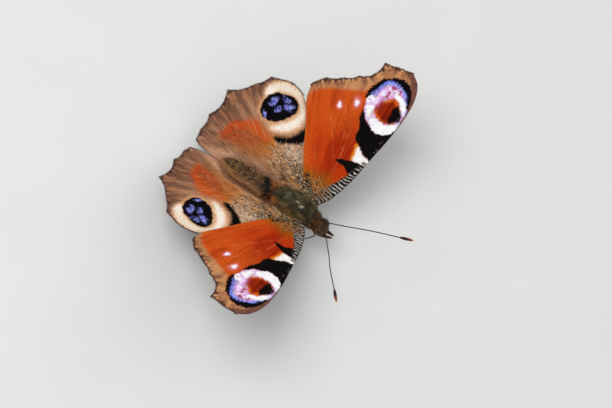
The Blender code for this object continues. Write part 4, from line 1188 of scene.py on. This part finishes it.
def make_thorax_coat(material):
    """Soft hair lying back over the thorax, standing out at its collar and rear edges."""
    random = dice(1)
    ahead, angle = body_roots(THORAX_TUFTS, *THORAX_COAT, random)
    place, normal, back = body_frame(ahead, angle)
    lift = np.sin(angle)
    collar = ease((ahead - 3.4) / 1.0)
    rear = ease((-2.2 - ahead) / 1.6)
    ruff = ease((ahead - 4.0) / 0.5) * ease((0.95 - np.abs(lift)) / 0.3)
    stand = 0.3 + 0.5 * collar + 0.15 * ease(-lift) + 0.3 * ruff
    clump = np.stack([body_noise(ahead, angle, 0.5, seed) - 0.5 for seed in (131, 132, 133)], -1)
    sway = random.normal(0, 0.14, (len(ahead), 3)) + clump * 1.1
    ways = unit(back * (1 - collar * 1.3)[:, None] + normal * stand[:, None] + sway)
    droops = back * (0.25 - 0.2 * collar)[:, None] - normal * (stand * 0.5)[:, None]
    lengths, widths = tuft_sizes("thorax", len(ahead), random)
    lengths = lengths * (1 + 0.55 * rear * (1 - np.abs(lift)) - 0.25 * collar + 0.6 * ruff)
    strand = noise(ahead * 0.45 + 20, angle * 2.2, 0.22, 134)
    tint = varied(body_tint(ahead, angle), random, 0.3) * (0.4 + 1.2 * strand)[:, None]
    side_rear = rear * ease((0.75 - lift) / 0.4) * ease((lift + 0.35) / 0.3)
    flank = ease((0.7 - np.abs(lift - 0.2)) / 0.3) * (random.random(len(ahead)) < 0.3)
    tint = layered(tint, ((198, 112, 44), side_rear * 0.85), ((158, 108, 58), flank * 0.6))
    # Painted highlights: hair near these places on the thorax's top is painted pale, standing in for glints
    # of light
    for side, along in PAINTED_GLINTS:
        fleck = np.hypot(place[:, 0] - side, place[:, 1] - along) < 0.25
        tint = over(tint, (240, 226, 196), fleck * (lift > 0))
    tips = over(tint * 1.4, (150, 128, 84), np.full(len(tint), 0.12))
    tufts = (place - normal * 0.04, ways, droops, lengths, widths, normal, tint, tips)
    add_tufts("thorax_coat", tufts, body_unwrap(ahead, angle), material, "fur")


def make_abdomen_coat(material):
    """Close hair and scales on the abdomen, longer at the hind edge of each segment."""
    random = dice(2)
    ahead, angle = body_roots(ABDOMEN_TUFTS, *ABDOMEN_COAT, random)
    place, normal, back = body_frame(ahead, angle)
    lift = np.sin(angle)
    edge = ((WAIST_AHEAD - ahead) / ABDOMEN_BAND) % 1.0
    waist = ease((ahead + 7.4) / 1.4)
    tip = ease((-13.6 - ahead) / 1.0)
    flank = ease((0.6 - 0.35 * np.cos(angle) - lift) / 0.4) * ease((lift + 0.8) / 0.4)
    flank = flank * ease((ahead + 14.6) / 1.0)
    stand = 0.22 + 0.12 * edge + 0.25 * waist + 0.35 * flank
    ways = unit(back + normal * stand[:, None] + random.normal(0, 0.16, (len(ahead), 3)))
    droops = back * 0.15 - normal * (stand * 0.4)[:, None]
    lengths, widths = tuft_sizes("abdomen", len(ahead), random)
    lengths = lengths * (1 + 0.9 * waist + 0.2 * edge + 0.2 * tip + 0.8 * flank)
    strand = noise(ahead * 0.4 + 20, angle * 1.8, 0.2, 135)
    tint = varied(body_tint(ahead, angle), random, 0.35) * (0.5 + 1.0 * strand)[:, None]
    golden = random.random(len(ahead)) < (0.26 + 0.16 * flank) * (1 - waist)
    tint = over(tint, over((184, 131, 74), (200, 142, 88), flank), golden * 0.85)
    tufts = (place - normal * 0.03, ways, droops, lengths, widths, normal, tint, tint * 1.4)
    add_tufts("abdomen_coat", tufts, body_unwrap(ahead, angle), material, "fur")


def make_head_coat(material):
    """Short bristly hair on the head, leaning forward over the face and clear of the eyes."""
    random = dice(3)
    ahead, angle = body_roots(HEAD_TUFTS, *HEAD_COAT, random)
    kept = (np.abs(np.sin(angle) + 0.02) >= 0.55) | (np.abs(ahead - EYE_MIDDLE[1]) >= 0.7)
    ahead, angle = ahead[kept], angle[kept]
    place, normal, back = body_frame(ahead, angle)
    lift = np.sin(angle)
    ways = unit(-back * 0.55 + normal * 0.75 + random.normal(0, 0.22, (len(ahead), 3)))
    droops = -back * 0.25 - normal * 0.15
    face = ease((ahead - 6.0) / 0.7)
    cheek = ease((5.6 - ahead) / 0.5) * ease((0.95 - np.abs(lift)) / 0.3)
    lengths, widths = tuft_sizes("head", len(ahead), random)
    lengths = lengths * (1 - 0.35 * face * ease(lift + 0.5) + 1.6 * cheek)
    widths = widths * (1 + 0.4 * cheek)
    clump = body_noise(ahead, angle, 0.3, 136)
    tint = varied(body_tint(ahead, angle), random, 0.35) * (0.4 + 1.2 * clump)[:, None]
    tips = over(tint * 1.2, (178, 156, 128), ease((clump - 0.5) * 4) * 0.4)
    tufts = (place - normal * 0.03, ways, droops, lengths, widths, normal, tint, tips)
    add_tufts("head_coat", tufts, body_unwrap(ahead, angle), material, "fur")


def wing_tufts(name, wing, sign, out, fore, heading, lengths, widths, rise, tint, fade, random, material):
    """Tufts on a wing's upper face, each lying along a flat heading."""
    far_out, far_fore = out + heading[:, 0] * lengths, fore + heading[:, 1] * lengths
    up = wing.up(out, fore)
    lift = wing.pleat(out, fore) + wing.root(out, fore) + MEMBRANE_THICKNESS / 2 - 0.02
    roots = wing.middle(out, fore) + up * lift[:, None]
    ways = unit(wing.middle(far_out, far_fore) - wing.middle(out, fore) + up * (lengths * rise)[:, None])
    droops = -up * (rise * 0.55)[:, None] + random.normal(0, 0.06, (len(out), 3))
    tufts = (roots, ways, droops, lengths, widths, up, tint, tint * fade)
    add_tufts(name, tufts, wing.unwrap(out, fore), material, name.split("_")[0], sign)


def scattered(wing, count, low, high, random, density):
    """Flat places in a box of the wing, kept by a density from 0 to 1 and by the outline."""
    out = random.uniform(low[0], high[0], count)
    fore = random.uniform(low[1], high[1], count)
    kept = (random.random(count) < density(out, fore)) & within(out, fore, wing.outline)
    return out[kept], fore[kept]


def heading_from(out, fore, centre, random, spread):
    """Flat directions away from a centre, with some spread."""
    turn = np.arctan2(fore - centre[1], out - centre[0]) + random.normal(0, spread, len(out))
    return np.stack([np.cos(turn), np.sin(turn)], -1)


def make_hindwing_hair(wing, label, sign, material):
    """Long golden hair from the hindwing's root, and the speckled scales beside it."""
    random = dice(20, sign)

    def hairy(out, fore):
        along = ease((-fore + 0.6) / 1.5) * ease((fore + 18.0) / 7.0)
        bare = patch(out, fore, SPECKLED_BASE, 0.9) * ease((out - 1.0) / 1.0) * 0.93
        return along * ease((5.8 - out + 0.1 * fore) / 2.5) * ease((out + 3.2) / 0.6) * (1 - bare)

    out, fore = scattered(wing, HINDWING_HAIRS, *HINDWING_HAIR_AREA, random, hairy)
    heading = heading_from(out, fore, HINDWING_HAIR_FROM, random, 0.13)
    gutter = ease((np.interp(fore, GUTTER_FORE, GUTTER_OUT) + 0.9 - out) / 0.8)
    lengths, widths = tuft_sizes("hindwing hair", len(out), random)
    lengths = lengths * (1 - 0.35 * gutter)
    rise = random.uniform(0.06, 0.24, len(out))
    tint = varied(paint_hindwing(wing, out, fore), random, 0.2)
    golden = over((206, 124, 52), (236, 182, 120), random.random(len(out)))
    orange = patch(out, fore, ORANGE_PATCH, 0.8)
    tint = over(tint, golden, (random.random(len(out)) < 0.4 - 0.28 * orange) * (1 - 0.7 * gutter) * 0.8)
    tint = over(tint, (70, 48, 30), (random.random(len(out)) < 0.12 - 0.08 * orange) * 0.75)
    wing_tufts("hindwing_hair_" + label, wing, sign, out, fore, heading, lengths, widths, rise, tint, 1.3,
               random, material)

    def speckled(out, fore):
        return patch(out, fore, SPECKLED_BASE, 0.9) * (1 - patch(out, fore, BLACK_CRESCENT, 0.5))

    out, fore = scattered(wing, HINDWING_SCALES, *HINDWING_SCALE_AREA, random, speckled)
    heading = heading_from(out, fore, HINDWING_SCALES_FROM, random, 0.35)
    lengths, widths = tuft_sizes("hindwing scales", len(out), random)
    pick = random.random(len(out))
    dark = 0.45 + 0.19 * ease(1 - np.hypot(out - 2.2, fore + 2.2) / 4.0)
    dark = dark - 0.16 * patch(out, fore, PALE_BASE, 1.0)
    tint = layered(
        over((214, 188, 154), (255, 250, 240), random.random(len(out))),
        ((20, 17, 16), pick < dark),
        ((206, 128, 46), pick > 0.84 + 0.03 * (fore + 2)),
        ((208, 152, 108), oval(out, fore, TAN_UNDER_CRESCENT, (1.7, 0.9, -15.0), 0.6) * 0.8))
    wing_tufts("hindwing_scales_" + label, wing, sign, out, fore, heading, lengths, widths,
               np.full(len(out), 0.3), tint, 1.1, random, material)


def make_forewing_hair(wing, label, sign, material):
    """Short dark, golden and grey hair over the forewing's root."""
    random = dice(40, sign)

    def hairy(out, fore):
        return ease((4.8 - out - 0.3 * np.abs(fore + 1.5)) / 3.0)

    out, fore = scattered(wing, FOREWING_HAIRS, *FOREWING_HAIR_AREA, random, hairy)
    heading = heading_from(out, fore, FOREWING_HAIR_FROM, random, 0.16)
    lengths, widths = tuft_sizes("forewing hair", len(out), random)
    pick = random.random(len(out))
    near = ease((3.4 - out) / 3.0)
    tint = layered(
        over((176, 100, 28), (206, 130, 46), random.random(len(out))),
        ((30, 26, 20), pick < 0.2 + 0.35 * near + 0.35 * patch(out, fore, DARK_BASE, 0.4)),
        ((190, 166, 132), pick > 0.9 - 0.18 * near))
    rise = random.uniform(0.1, 0.35, len(out))
    wing_tufts("forewing_hair_" + label, wing, sign, out, fore, heading, lengths, widths, rise, tint, 1.25,
               random, material)


def make_fringe(kind, wing, label, sign, material):
    """Short scales along a wing's outer edge, dark with paler stretches."""
    name = kind + "_fringe_" + label
    random = dice(60 + len(name), sign)
    along = random.uniform(0.001, 0.999, FRINGE_TUFTS)
    edge = resampled(wing.margin, along)
    before, after = [resampled(wing.margin, np.clip(along + step, 0, 1)) for step in (-0.004, 0.004)]
    ahead = after - before
    outward = unit(np.stack([-ahead[:, 1], ahead[:, 0]], -1))
    inside = within(edge[:, 0] + outward[:, 0] * 0.2, edge[:, 1] + outward[:, 1] * 0.2, wing.outline)
    outward = np.where(inside[:, None], -outward, outward)
    turn = random.normal(0, 0.25, len(edge))
    heading = np.stack([outward[:, 0] * np.cos(turn) - outward[:, 1] * np.sin(turn),
                        outward[:, 0] * np.sin(turn) + outward[:, 1] * np.cos(turn)], -1)
    out, fore = (edge - outward * FRINGE_INSET).T
    lengths, widths = tuft_sizes("fringe", len(edge), random)
    stretch = ripple(along * 60, 1.0, 121)
    tint = varied(over(FRINGE_TONES[kind], (140, 104, 84), ease((stretch - 0.62) * 5)), random, 0.25)
    rise = random.normal(0.0, 0.08, len(edge))
    wing_tufts(name, wing, sign, out, fore, heading, lengths, widths, rise, tint, 0.9, random, material)


def make_eye(label, sign, material):
    """A domed compound eye set into the side of the head."""
    rise = np.linspace(-0.5, 0.5, EYE_ROWS) * math.pi * 0.995
    angle = 2 * math.pi * np.arange(EYE_SIDES) / EYE_SIDES
    rise, angle = [part.ravel() for part in np.meshgrid(rise, angle, indexing="ij")]
    ball = np.stack([np.sin(rise), np.cos(rise) * np.cos(angle), np.cos(rise) * np.sin(angle)], -1)
    places = np.array(EYE_MIDDLE) + ball * np.array(EYE_RADII)
    fan = np.arange(1, EYE_SIDES - 1)
    start = np.zeros(EYE_SIDES - 2, int)
    first = np.stack([start, fan + 1, fan], -1)
    last = (EYE_ROWS - 1) * EYE_SIDES + np.stack([start, fan, fan + 1], -1)
    faces = np.vstack([split_quads(grid_quads(EYE_ROWS, EYE_SIDES, closed=True)), first, last])
    # Painted light: the eye is lighter towards its top, as if lit from above, and its lighter mottles are
    # partly painted highlights
    clouds = noise(ball[:, 1] + 5, ball[:, 2] + 5, 0.35, 141)
    tint = over((30, 20, 15), (98, 68, 50), ease(ball[:, 2] * 0.5 + clouds * 1.4 - 0.45))
    item = add_piece("compound_eye_" + label, places, faces, material, tint, sign)
    belongs(item, "eye", "eye_" + label)


def make_eye_hair(label, sign, material):
    """Very short fine hair that stands out over the eye."""
    random = dice(110, sign)
    out = random.uniform(0.15, 0.98, EYE_HAIRS)
    turn = random.uniform(0, 2 * math.pi, EYE_HAIRS)
    round_it = np.sqrt(1 - out * out)
    ball = np.stack([out, round_it * np.cos(turn), round_it * np.sin(turn)], -1)
    roots = np.array(EYE_MIDDLE) + ball * np.array(EYE_RADII) * 0.99
    normal = unit(ball / np.array(EYE_RADII))
    ways = unit(normal + random.normal(0, 0.3, normal.shape))
    tint = over((40, 27, 19), (140, 104, 74), random.random(EYE_HAIRS))
    lengths, widths = random.uniform(0.1, 0.2, EYE_HAIRS), np.full(EYE_HAIRS, 0.03)
    tufts = (roots, ways, -normal * 0.2, lengths, widths, normal + 0.1, tint, tint * 1.3)
    add_tufts("eye_hair_" + label, tufts, np.stack([turn / (2 * math.pi), out], -1), material, "fur", sign)


def make_antenna(label, way, material):
    """A fine jointed feeler with a dark and red-brown club and a pale tip."""
    sign = SIDES[label]
    root = np.array(ANTENNA_ROOT) * np.array([sign, 1, 1])
    stalk = [root - np.array([0, 0, 0.35]), root, root + np.array([0.2 * sign, 0.12, 0.45])]
    path = smooth_path(np.vstack([stalk, way]), 40)
    path = resampled(path, np.linspace(0, 1, ANTENNA_JOINTS * ANTENNA_JOINT_STEPS))
    share = np.linspace(0, 1, len(path))
    joint = (share * ANTENNA_JOINTS) % 1.0
    club = np.clip((share - CLUB_START) / (1 - CLUB_START), 0, 1)
    radii = ANTENNA_RADIUS * (0.9 + 0.2 * np.sin(math.pi * joint) ** 0.5)
    radii = radii + (CLUB_RADIUS - ANTENNA_RADIUS) * np.sin(math.pi * club ** 0.8) ** 0.8
    radii = radii + 0.13 * np.exp(-((share - 0.015) / 0.012) ** 2)
    radii[-8:] *= np.linspace(1, 0.35, 8)
    paint = layered(
        ANTENNA_TONE,
        (ANTENNA_JOINT_TONE, ease((joint - 0.72) / 0.1) * 0.7),
        ((34, 18, 14), ease(club / 0.25)),
        ((132, 46, 24), ease((club - 0.45) / 0.2)),
        ((224, 172, 118), ease((club - 0.82) / 0.1)))
    places, faces = tube_mesh(path, radii, ANTENNA_SIDES, np.array([0, 0.3, 1.0]))
    item = add_piece("feeler_" + label, places, faces, material, tube_tint(paint, ANTENNA_SIDES))
    belongs(item, "chitin", "antenna_" + label)


def make_tongue(material):
    """The proboscis, wound like a watch spring under the palps."""
    share = np.linspace(0, 1, TONGUE_STATIONS)
    turn = math.radians(TONGUE_START_ANGLE) - 2 * math.pi * TONGUE_TURNS * share
    reach = TONGUE_OUTER + (TONGUE_INNER - TONGUE_OUTER) * share ** 0.85
    coil = np.stack([np.zeros(TONGUE_STATIONS), np.cos(turn) * reach, np.sin(turn) * reach], -1)
    coil = np.array(TONGUE_CENTRE) + coil
    stem = smooth_path([(0, 6.05, -1.7), (0, 6.2, -2.1), coil[0], coil[6]], 12)[:-13]
    path = np.vstack([stem, coil])
    radii = np.interp(np.linspace(0, 1, len(path)), [0, 0.1, 0.9, 1], [1, 1, 0.5, 0.28]) * TONGUE_RADIUS
    radii = radii * (1 + 0.07 * np.sin(np.arange(len(path)) * 1.6))
    places, faces = tube_mesh(path, radii, TONGUE_SIDES, np.array([1.0, 0, 0]))
    item = add_piece("coiled_proboscis", places, faces, material, colour(*TONGUE_TONE))
    belongs(item, "chitin", "proboscis")


class Limb:
    """A round limb segment, its paint and the tufts that grow on it."""

    def __init__(self, points, radii, tones, bristle=0.0, density=0, reference=(0.1, 1.0, 0.2)):
        self.path = resampled(smooth_path(points, 14), np.linspace(0, 1, LIMB_STATIONS))
        self.radii = np.interp(np.linspace(0, 1, LIMB_STATIONS), np.linspace(0, 1, len(radii)), radii)
        self.radii[-1] *= LIMB_END_TAPER
        self.reference = np.array(reference)
        self.dark, self.light = [colour(*tone) for tone in tones]
        self.bristle = bristle
        self.density = density

    def mesh(self):
        """Its closed surface, with lighter rings along it."""
        places, faces = tube_mesh(self.path, self.radii, LIMB_SIDES, self.reference)
        rings = np.sin(np.linspace(0, 1, LIMB_STATIONS) * LIMB_RINGS)
        paint = over(self.dark, self.light, ease((rings - 0.6) * 2) * 0.5)
        return places, faces, tube_tint(paint, LIMB_SIDES)

    def tufts(self, random, band):
        """Roots, ways, droops, lengths, normals, tints and flat places of its tufts."""
        count = int(lengths_along(self.path)[-1] * self.radii.mean() * self.density)
        share, angle = random.random(count), random.uniform(0, 2 * math.pi, count)
        spot = resampled(self.path, share)
        before, after = [resampled(self.path, np.clip(share + step, 0, 1)) for step in (-0.03, 0.03)]
        forward = unit(after - before)
        across = unit(np.cross(forward, self.reference))
        upright = np.cross(across, forward)
        normal = across * np.cos(angle)[:, None] + upright * np.sin(angle)[:, None]
        radius = np.interp(share, np.linspace(0, 1, LIMB_STATIONS), self.radii)
        roots = spot + normal * (radius * BRISTLE_ROOT)[:, None]
        ways = unit(forward + normal * 0.55 + random.normal(0, 0.18, (count, 3)))
        lengths = self.bristle * random.uniform(0.7, 1.3, count)
        tint = over(np.broadcast_to(self.dark, (count, 3)), self.light, random.random(count) * 0.8)
        flat = np.stack([band[0] + (band[1] - band[0]) * angle / (2 * math.pi), share], -1)
        return roots, ways, -normal * 0.3, lengths, normal, tint, flat


def thorax_place(share, degrees):
    """A place on the thorax's lower half at an angle from its left flank, and its outward direction.

    The angle is measured upward, so it is below 0.
    """
    swell = float(thorax_swell(share))
    turn = math.radians(degrees)
    side = math.cos(turn) ** (2 / THORAX_ROUNDNESS) * THORAX_HALF_WIDTH * swell
    down = abs(math.sin(turn)) ** (2 / THORAX_ROUNDNESS) * THORAX_HALF_HEIGHT * swell
    ahead = THORAX_MIDDLE_AHEAD + share * THORAX_HALF_LENGTH
    place = np.array([side, ahead, -down - THORAX_END_DROP * share * share])
    return place, np.array([math.cos(turn), 0.0, math.sin(turn)])


def leg_limbs(leg):
    """Hip, femur, tibia, tarsus, claws and spurs of a left walking leg."""
    share, angle, knee, ankle, toe = LEGS[leg]
    place, outward = thorax_place(share, angle)
    knee, ankle, toe = np.array(knee), np.array(ankle), np.array(toe)
    heel = np.array([*(ankle[:2] * 0.6 + toe[:2] * 0.4), toe[2] + 0.02])
    thigh = [place, place * 0.4 + knee * 0.6 + np.array([0, 0, 0.12]), knee]
    shin = [knee, knee * 0.5 + ankle * 0.5 + np.array([0.1, 0, 0]), ankle]
    limbs = [
        Limb([place - outward * 1.1, place + outward * 0.35], [0.55, 0.42], LEG_TONES, 0.4, 225),
        Limb(thigh, np.array([1, 1.25, 0.8]) * FEMUR_RADIUS, LEG_TONES, 0.24, 300),
        Limb(shin, np.array([1, 1.1, 0.9]) * TIBIA_RADIUS, LEG_TONES, 0.2, 300)]
    foot = smooth_path([ankle, heel, heel * 0.5 + toe * 0.5, toe], 10)
    for joint in range(5):
        part = resampled(foot, np.linspace(joint / 5, (joint + 1) / 5, 5))
        radii = np.array([0.8, 1, 0.95]) * TARSUS_RADIUS
        limbs.append(Limb(part, radii, TARSUS_TONES, 0.13, 180, FOOT_REFERENCE))
    forward = unit(foot[-1] - foot[-6])
    across = np.cross(forward, [0, 0, 1.0])
    for side in (-1, 1):
        claw = [toe - forward * 0.05, toe + forward * 0.2 + across * 0.1 * side + np.array([0, 0, 0.1]),
                toe + forward * 0.34 + across * 0.14 * side - np.array([0, 0, 0.04])]
        spur = [ankle, ankle + unit(heel - ankle) * 0.3 + across * 0.28 * side]
        limbs.append(Limb(claw, [0.05, 0.035, 0.012], CLAW_TONES, reference=FOOT_REFERENCE))
        limbs.append(Limb(spur, [0.05, 0.012], SPUR_TONES, reference=FOOT_REFERENCE))
    return limbs


def make_limbs(label, sign, chitin, fur):
    """Legs and palps of one side, and the short hair on them."""
    random = dice(80, sign)
    groups = {leg: leg_limbs(leg) for leg in LEGS}
    nodes = {leg: [leg + part for part in ("_femur_", "_tibia_", "_tarsus_")] for leg in LEGS}
    nodes.update(foreleg=["foreleg_"], palp=["palp_"])
    place, outward = thorax_place(*FORELEG_ROOT)
    way = np.vstack([place - outward * 0.4, place + outward * 0.1, FORELEG_POINTS])
    groups["foreleg"] = [Limb(way, FORELEG_RADII, FORELEG_TONES, 0.12, 1200, (0.3, 0.2, 1.0))]
    groups["palp"] = [Limb(PALP_POINTS, PALP_RADII, PALP_TONES, 0.3, 1700, (0.2, 0.0, 1.0))]
    hairy = [limb for group in groups.values() for limb in group if limb.density]
    bristly = []
    for index, limb in enumerate(hairy):
        bristly.append(limb.tufts(random, (index / len(hairy), (index + 0.9) / len(hairy))))
    for kind, limbs in groups.items():
        places, faces, tint = joined([limb.mesh() for limb in limbs])
        item = add_piece(kind + "_skin_" + label, places, faces, chitin, tint, sign)
        slot = "chitin" if kind in LEGS else "fur"
        belongs(item, slot, *[node + label for node in nodes[kind]])
    roots, ways, droops, lengths, normals, tint, flat = [np.concatenate(part) for part in zip(*bristly)]
    widths = random.uniform(0.035, 0.055, len(roots))
    tufts = (roots, ways, droops, lengths, widths, normals, tint, tint * 1.4)
    add_tufts("limb_hair_" + label, tufts, flat, fur, "fur", sign)


class Paint:
    """A material being made, with short ways to add and link its nodes."""

    def __init__(self, name, roughness, specular, sheen=0.0, coat=0.0):
        self.material = bpy.data.materials.new(name)
        self.material.use_nodes = True
        self.tree = self.material.node_tree
        self.shader = self.tree.nodes["Principled BSDF"]
        self.shader.inputs["Roughness"].default_value = roughness
        self.shader.inputs["Specular IOR Level"].default_value = specular
        self.shader.inputs["Sheen Weight"].default_value = sheen
        self.shader.inputs["Sheen Roughness"].default_value = 0.5
        self.shader.inputs["Coat Weight"].default_value = coat

    def link(self, socket, value):
        """Sets an input to a value, or links it to another node's output."""
        if isinstance(value, bpy.types.NodeSocket):
            self.tree.links.new(value, socket)
        else:
            socket.default_value = value

    def node(self, kind, values, **settings):
        """The outputs of a new node with its settings and inputs."""
        node = self.tree.nodes.new("ShaderNode" + kind)
        for label, value in settings.items():
            setattr(node, label, value)
        for label, value in values.items():
            self.link(node.inputs[label], value)
        return node.outputs

    def tint(self):
        """The mesh's own colours."""
        return self.node("Attribute", {}, attribute_name="Tint")["Color"]

    def where(self):
        """Places on the object, in metres."""
        return self.node("TexCoord", {})["Object"]

    def cloud(self, where, scale, detail):
        """Noise of a scale."""
        return self.node("TexNoise", {"Vector": where, "Scale": scale, "Detail": detail})["Fac"]

    def cells(self, where, scale, randomness):
        """Cells of a scale, such as scales or facets."""
        return self.node("TexVoronoi", {"Vector": where, "Scale": scale, "Randomness": randomness})

    def bump(self, height, strength, distance):
        """Small relief from a height."""
        values = {"Height": height, "Strength": strength, "Distance": distance}
        self.link(self.shader.inputs["Normal"], self.node("Bump", values)["Normal"])

    def finish(self, tone, *shades):
        """The material, its tone made lighter or darker by each value spread between two shares."""
        for value, low, high in shades:
            share = self.node("MapRange", {"Value": value, "To Min": low, "To Max": high})["Result"]
            tone = self.node("VectorMath", {0: tone, 1: share}, operation="MULTIPLY")["Vector"]
        self.link(self.shader.inputs["Base Color"], tone)
        return self.material


def make_wing_material(name):
    """Rows of overlapping scales, each a little lighter or darker than its neighbours."""
    paint = Paint(name, 0.75, 0.04)
    flat = paint.node("UVMap", {}, uv_map="Wing")["UV"]
    stretched = paint.node("Mapping", {"Vector": flat, "Scale": (1.0, 1.7, 1.0)})["Vector"]
    scales = paint.cells(stretched, 190.0, 0.75)
    cloud = paint.cloud(flat, 110.0, 3.0)
    paint.bump(scales["Distance"], 0.35, 0.00006)
    return paint.finish(paint.tint(), (scales["Color"], 0.84, 1.14), (cloud, 0.86, 1.14))


def make_fur_material():
    """Soft hair coloured tuft by tuft."""
    paint = Paint("coat_hair", 0.6, 0.12, sheen=0.05)
    cloud = paint.cloud(paint.where(), 5000.0, 2.0)
    return paint.finish(paint.tint(), (cloud, 0.75, 1.25))


def make_skin_material():
    """Dark skin under the hair, with a fine scaly grain."""
    paint = Paint("body_cuticle", 0.7, 0.2)
    cloud = paint.cloud(paint.where(), 2600.0, 4.0)
    paint.bump(cloud, 0.6, 0.0001)
    return paint.finish(paint.tint(), (cloud, 0.5, 1.5))


def make_eye_material():
    """A dark glossy eye with fine facets."""
    paint = Paint("eye_facets", 0.38, 0.28, coat=0.06)
    where = paint.where()
    facets = paint.cells(where, 11000.0, 0.15)["Distance"]
    cloud = paint.cloud(where, 1500.0, 2.0)
    paint.bump(facets, 0.5, -0.00003)
    # Painted highlights: each facet is lighter in its middle, and darker along its edges
    return paint.finish(paint.tint(), (cloud, 0.6, 1.5), (facets, 1.25, 0.5))


def make_chitin_material():
    """Smooth horn of legs, feelers and tongue, dusted with small scales."""
    paint = Paint("brown_chitin", 0.5, 0.2)
    where = paint.where()
    dust = paint.cells(where, 8000.0, 0.8)
    cloud = paint.cloud(where, 3500.0, 3.0)
    paint.bump(dust["Distance"], 0.4, 0.00004)
    return paint.finish(paint.tint(), (dust["Color"], 0.65, 1.4), (cloud, 0.7, 1.3))


def new_object(name, data):
    """A new object of the scene."""
    item = bpy.data.objects.new(name, data)
    bpy.context.scene.collection.objects.link(item)
    return item


def add_floor():
    """A plain pale floor."""
    paint = Paint("pale_floor", 0.85, 0.1)
    cloud = paint.cloud(paint.where(), 60.0, 3.0)
    mesh = bpy.data.meshes.new("floor")
    half = FLOOR_SIZE / 2
    corners = [(-half, -half, 0), (half, -half, 0), (half, half, 0), (-half, half, 0)]
    mesh.from_pydata(corners, [], [(0, 1, 2, 3)])
    mesh.materials.append(paint.finish(FLOOR_TONE, (cloud, 0.97, 1.03)))
    floor = new_object("floor", mesh)


def add_light(name, spot, size, power):
    """A square soft light aimed at the butterfly."""
    lamp = bpy.data.lights.new(name, "AREA")
    lamp.size = size
    lamp.energy = power
    light = new_object(name, lamp)
    light.location = spot
    light.rotation_euler = (Vector(LIGHT_TARGET) - Vector(spot)).to_track_quat("-Z", "Y").to_euler()


def add_lights():
    """Pale surroundings, a soft light above and a weaker, larger one across from it."""
    world = bpy.data.worlds.new("studio")
    world.use_nodes = True
    background = world.node_tree.nodes["Background"]
    background.inputs["Color"].default_value = WORLD_TONE
    background.inputs["Strength"].default_value = WORLD_STRENGTH
    bpy.context.scene.world = world
    add_light("key", KEY_PLACE, KEY_SIZE, KEY_POWER)
    add_light("fill", FILL_PLACE, FILL_SIZE, FILL_POWER)


def add_camera():
    """The photo's view: from above, leaning to the butterfly's right, and rolled."""
    lean, roll = math.radians(CAMERA_LEAN), math.radians(CAMERA_ROLL)
    right = Vector((math.sin(roll) * math.cos(lean), -math.cos(roll), math.sin(roll) * math.sin(lean)))
    down = Vector((-math.cos(roll) * math.cos(lean), -math.sin(roll), -math.cos(roll) * math.sin(lean)))
    back = Vector((-math.sin(lean), 0, math.cos(lean)))
    lens = bpy.data.cameras.new("camera")
    lens.sensor_width = SENSOR_WIDTH
    lens.lens = SCALE_AT_BODY * CAMERA_DISTANCE * SENSOR_WIDTH / PICTURE_WIDTH
    lens.clip_start = 0.01
    lens.clip_end = 20
    camera = new_object("camera", lens)
    offset = back * CAMERA_DISTANCE + right * BODY_LEFT_OF_PICTURE_MIDDLE - down * BODY_BELOW_PICTURE_MIDDLE
    turn = Matrix((right, -down, back)).transposed().to_4x4()
    camera.matrix_world = Matrix.Translation(Vector(to_world((0, 0, 0))) + offset * MM) @ turn
    bpy.context.scene.camera = camera


def make_butterfly():
    """Every piece of the animal."""
    fur, cuticle = make_fur_material(), make_skin_material()
    chitin, facets = make_chitin_material(), make_eye_material()
    forewing, hindwing = make_wings()
    make_wing_pair("forewing", forewing, paint_forewing, make_wing_material("forewing_scales"))
    make_wing_pair("hindwing", hindwing, paint_hindwing, make_wing_material("hindwing_scales"))
    make_body_skin(cuticle)
    make_thorax_coat(fur)
    make_abdomen_coat(fur)
    make_head_coat(fur)
    make_tongue(chitin)
    for label, sign in SIDES.items():
        make_hindwing_hair(hindwing, label, sign, fur)
        make_forewing_hair(forewing, label, sign, fur)
        make_fringe("forewing", forewing, label, sign, fur)
        make_fringe("hindwing", hindwing, label, sign, fur)
        make_eye(label, sign, facets)
        make_eye_hair(label, sign, fur)
        make_limbs(label, sign, chitin, fur)
    make_antenna("left", LEFT_ANTENNA, chitin)
    make_antenna("right", RIGHT_ANTENNA, chitin)


make_butterfly()
add_floor()
add_lights()
add_camera()
bpy.context.scene.view_settings.view_transform = "Standard"
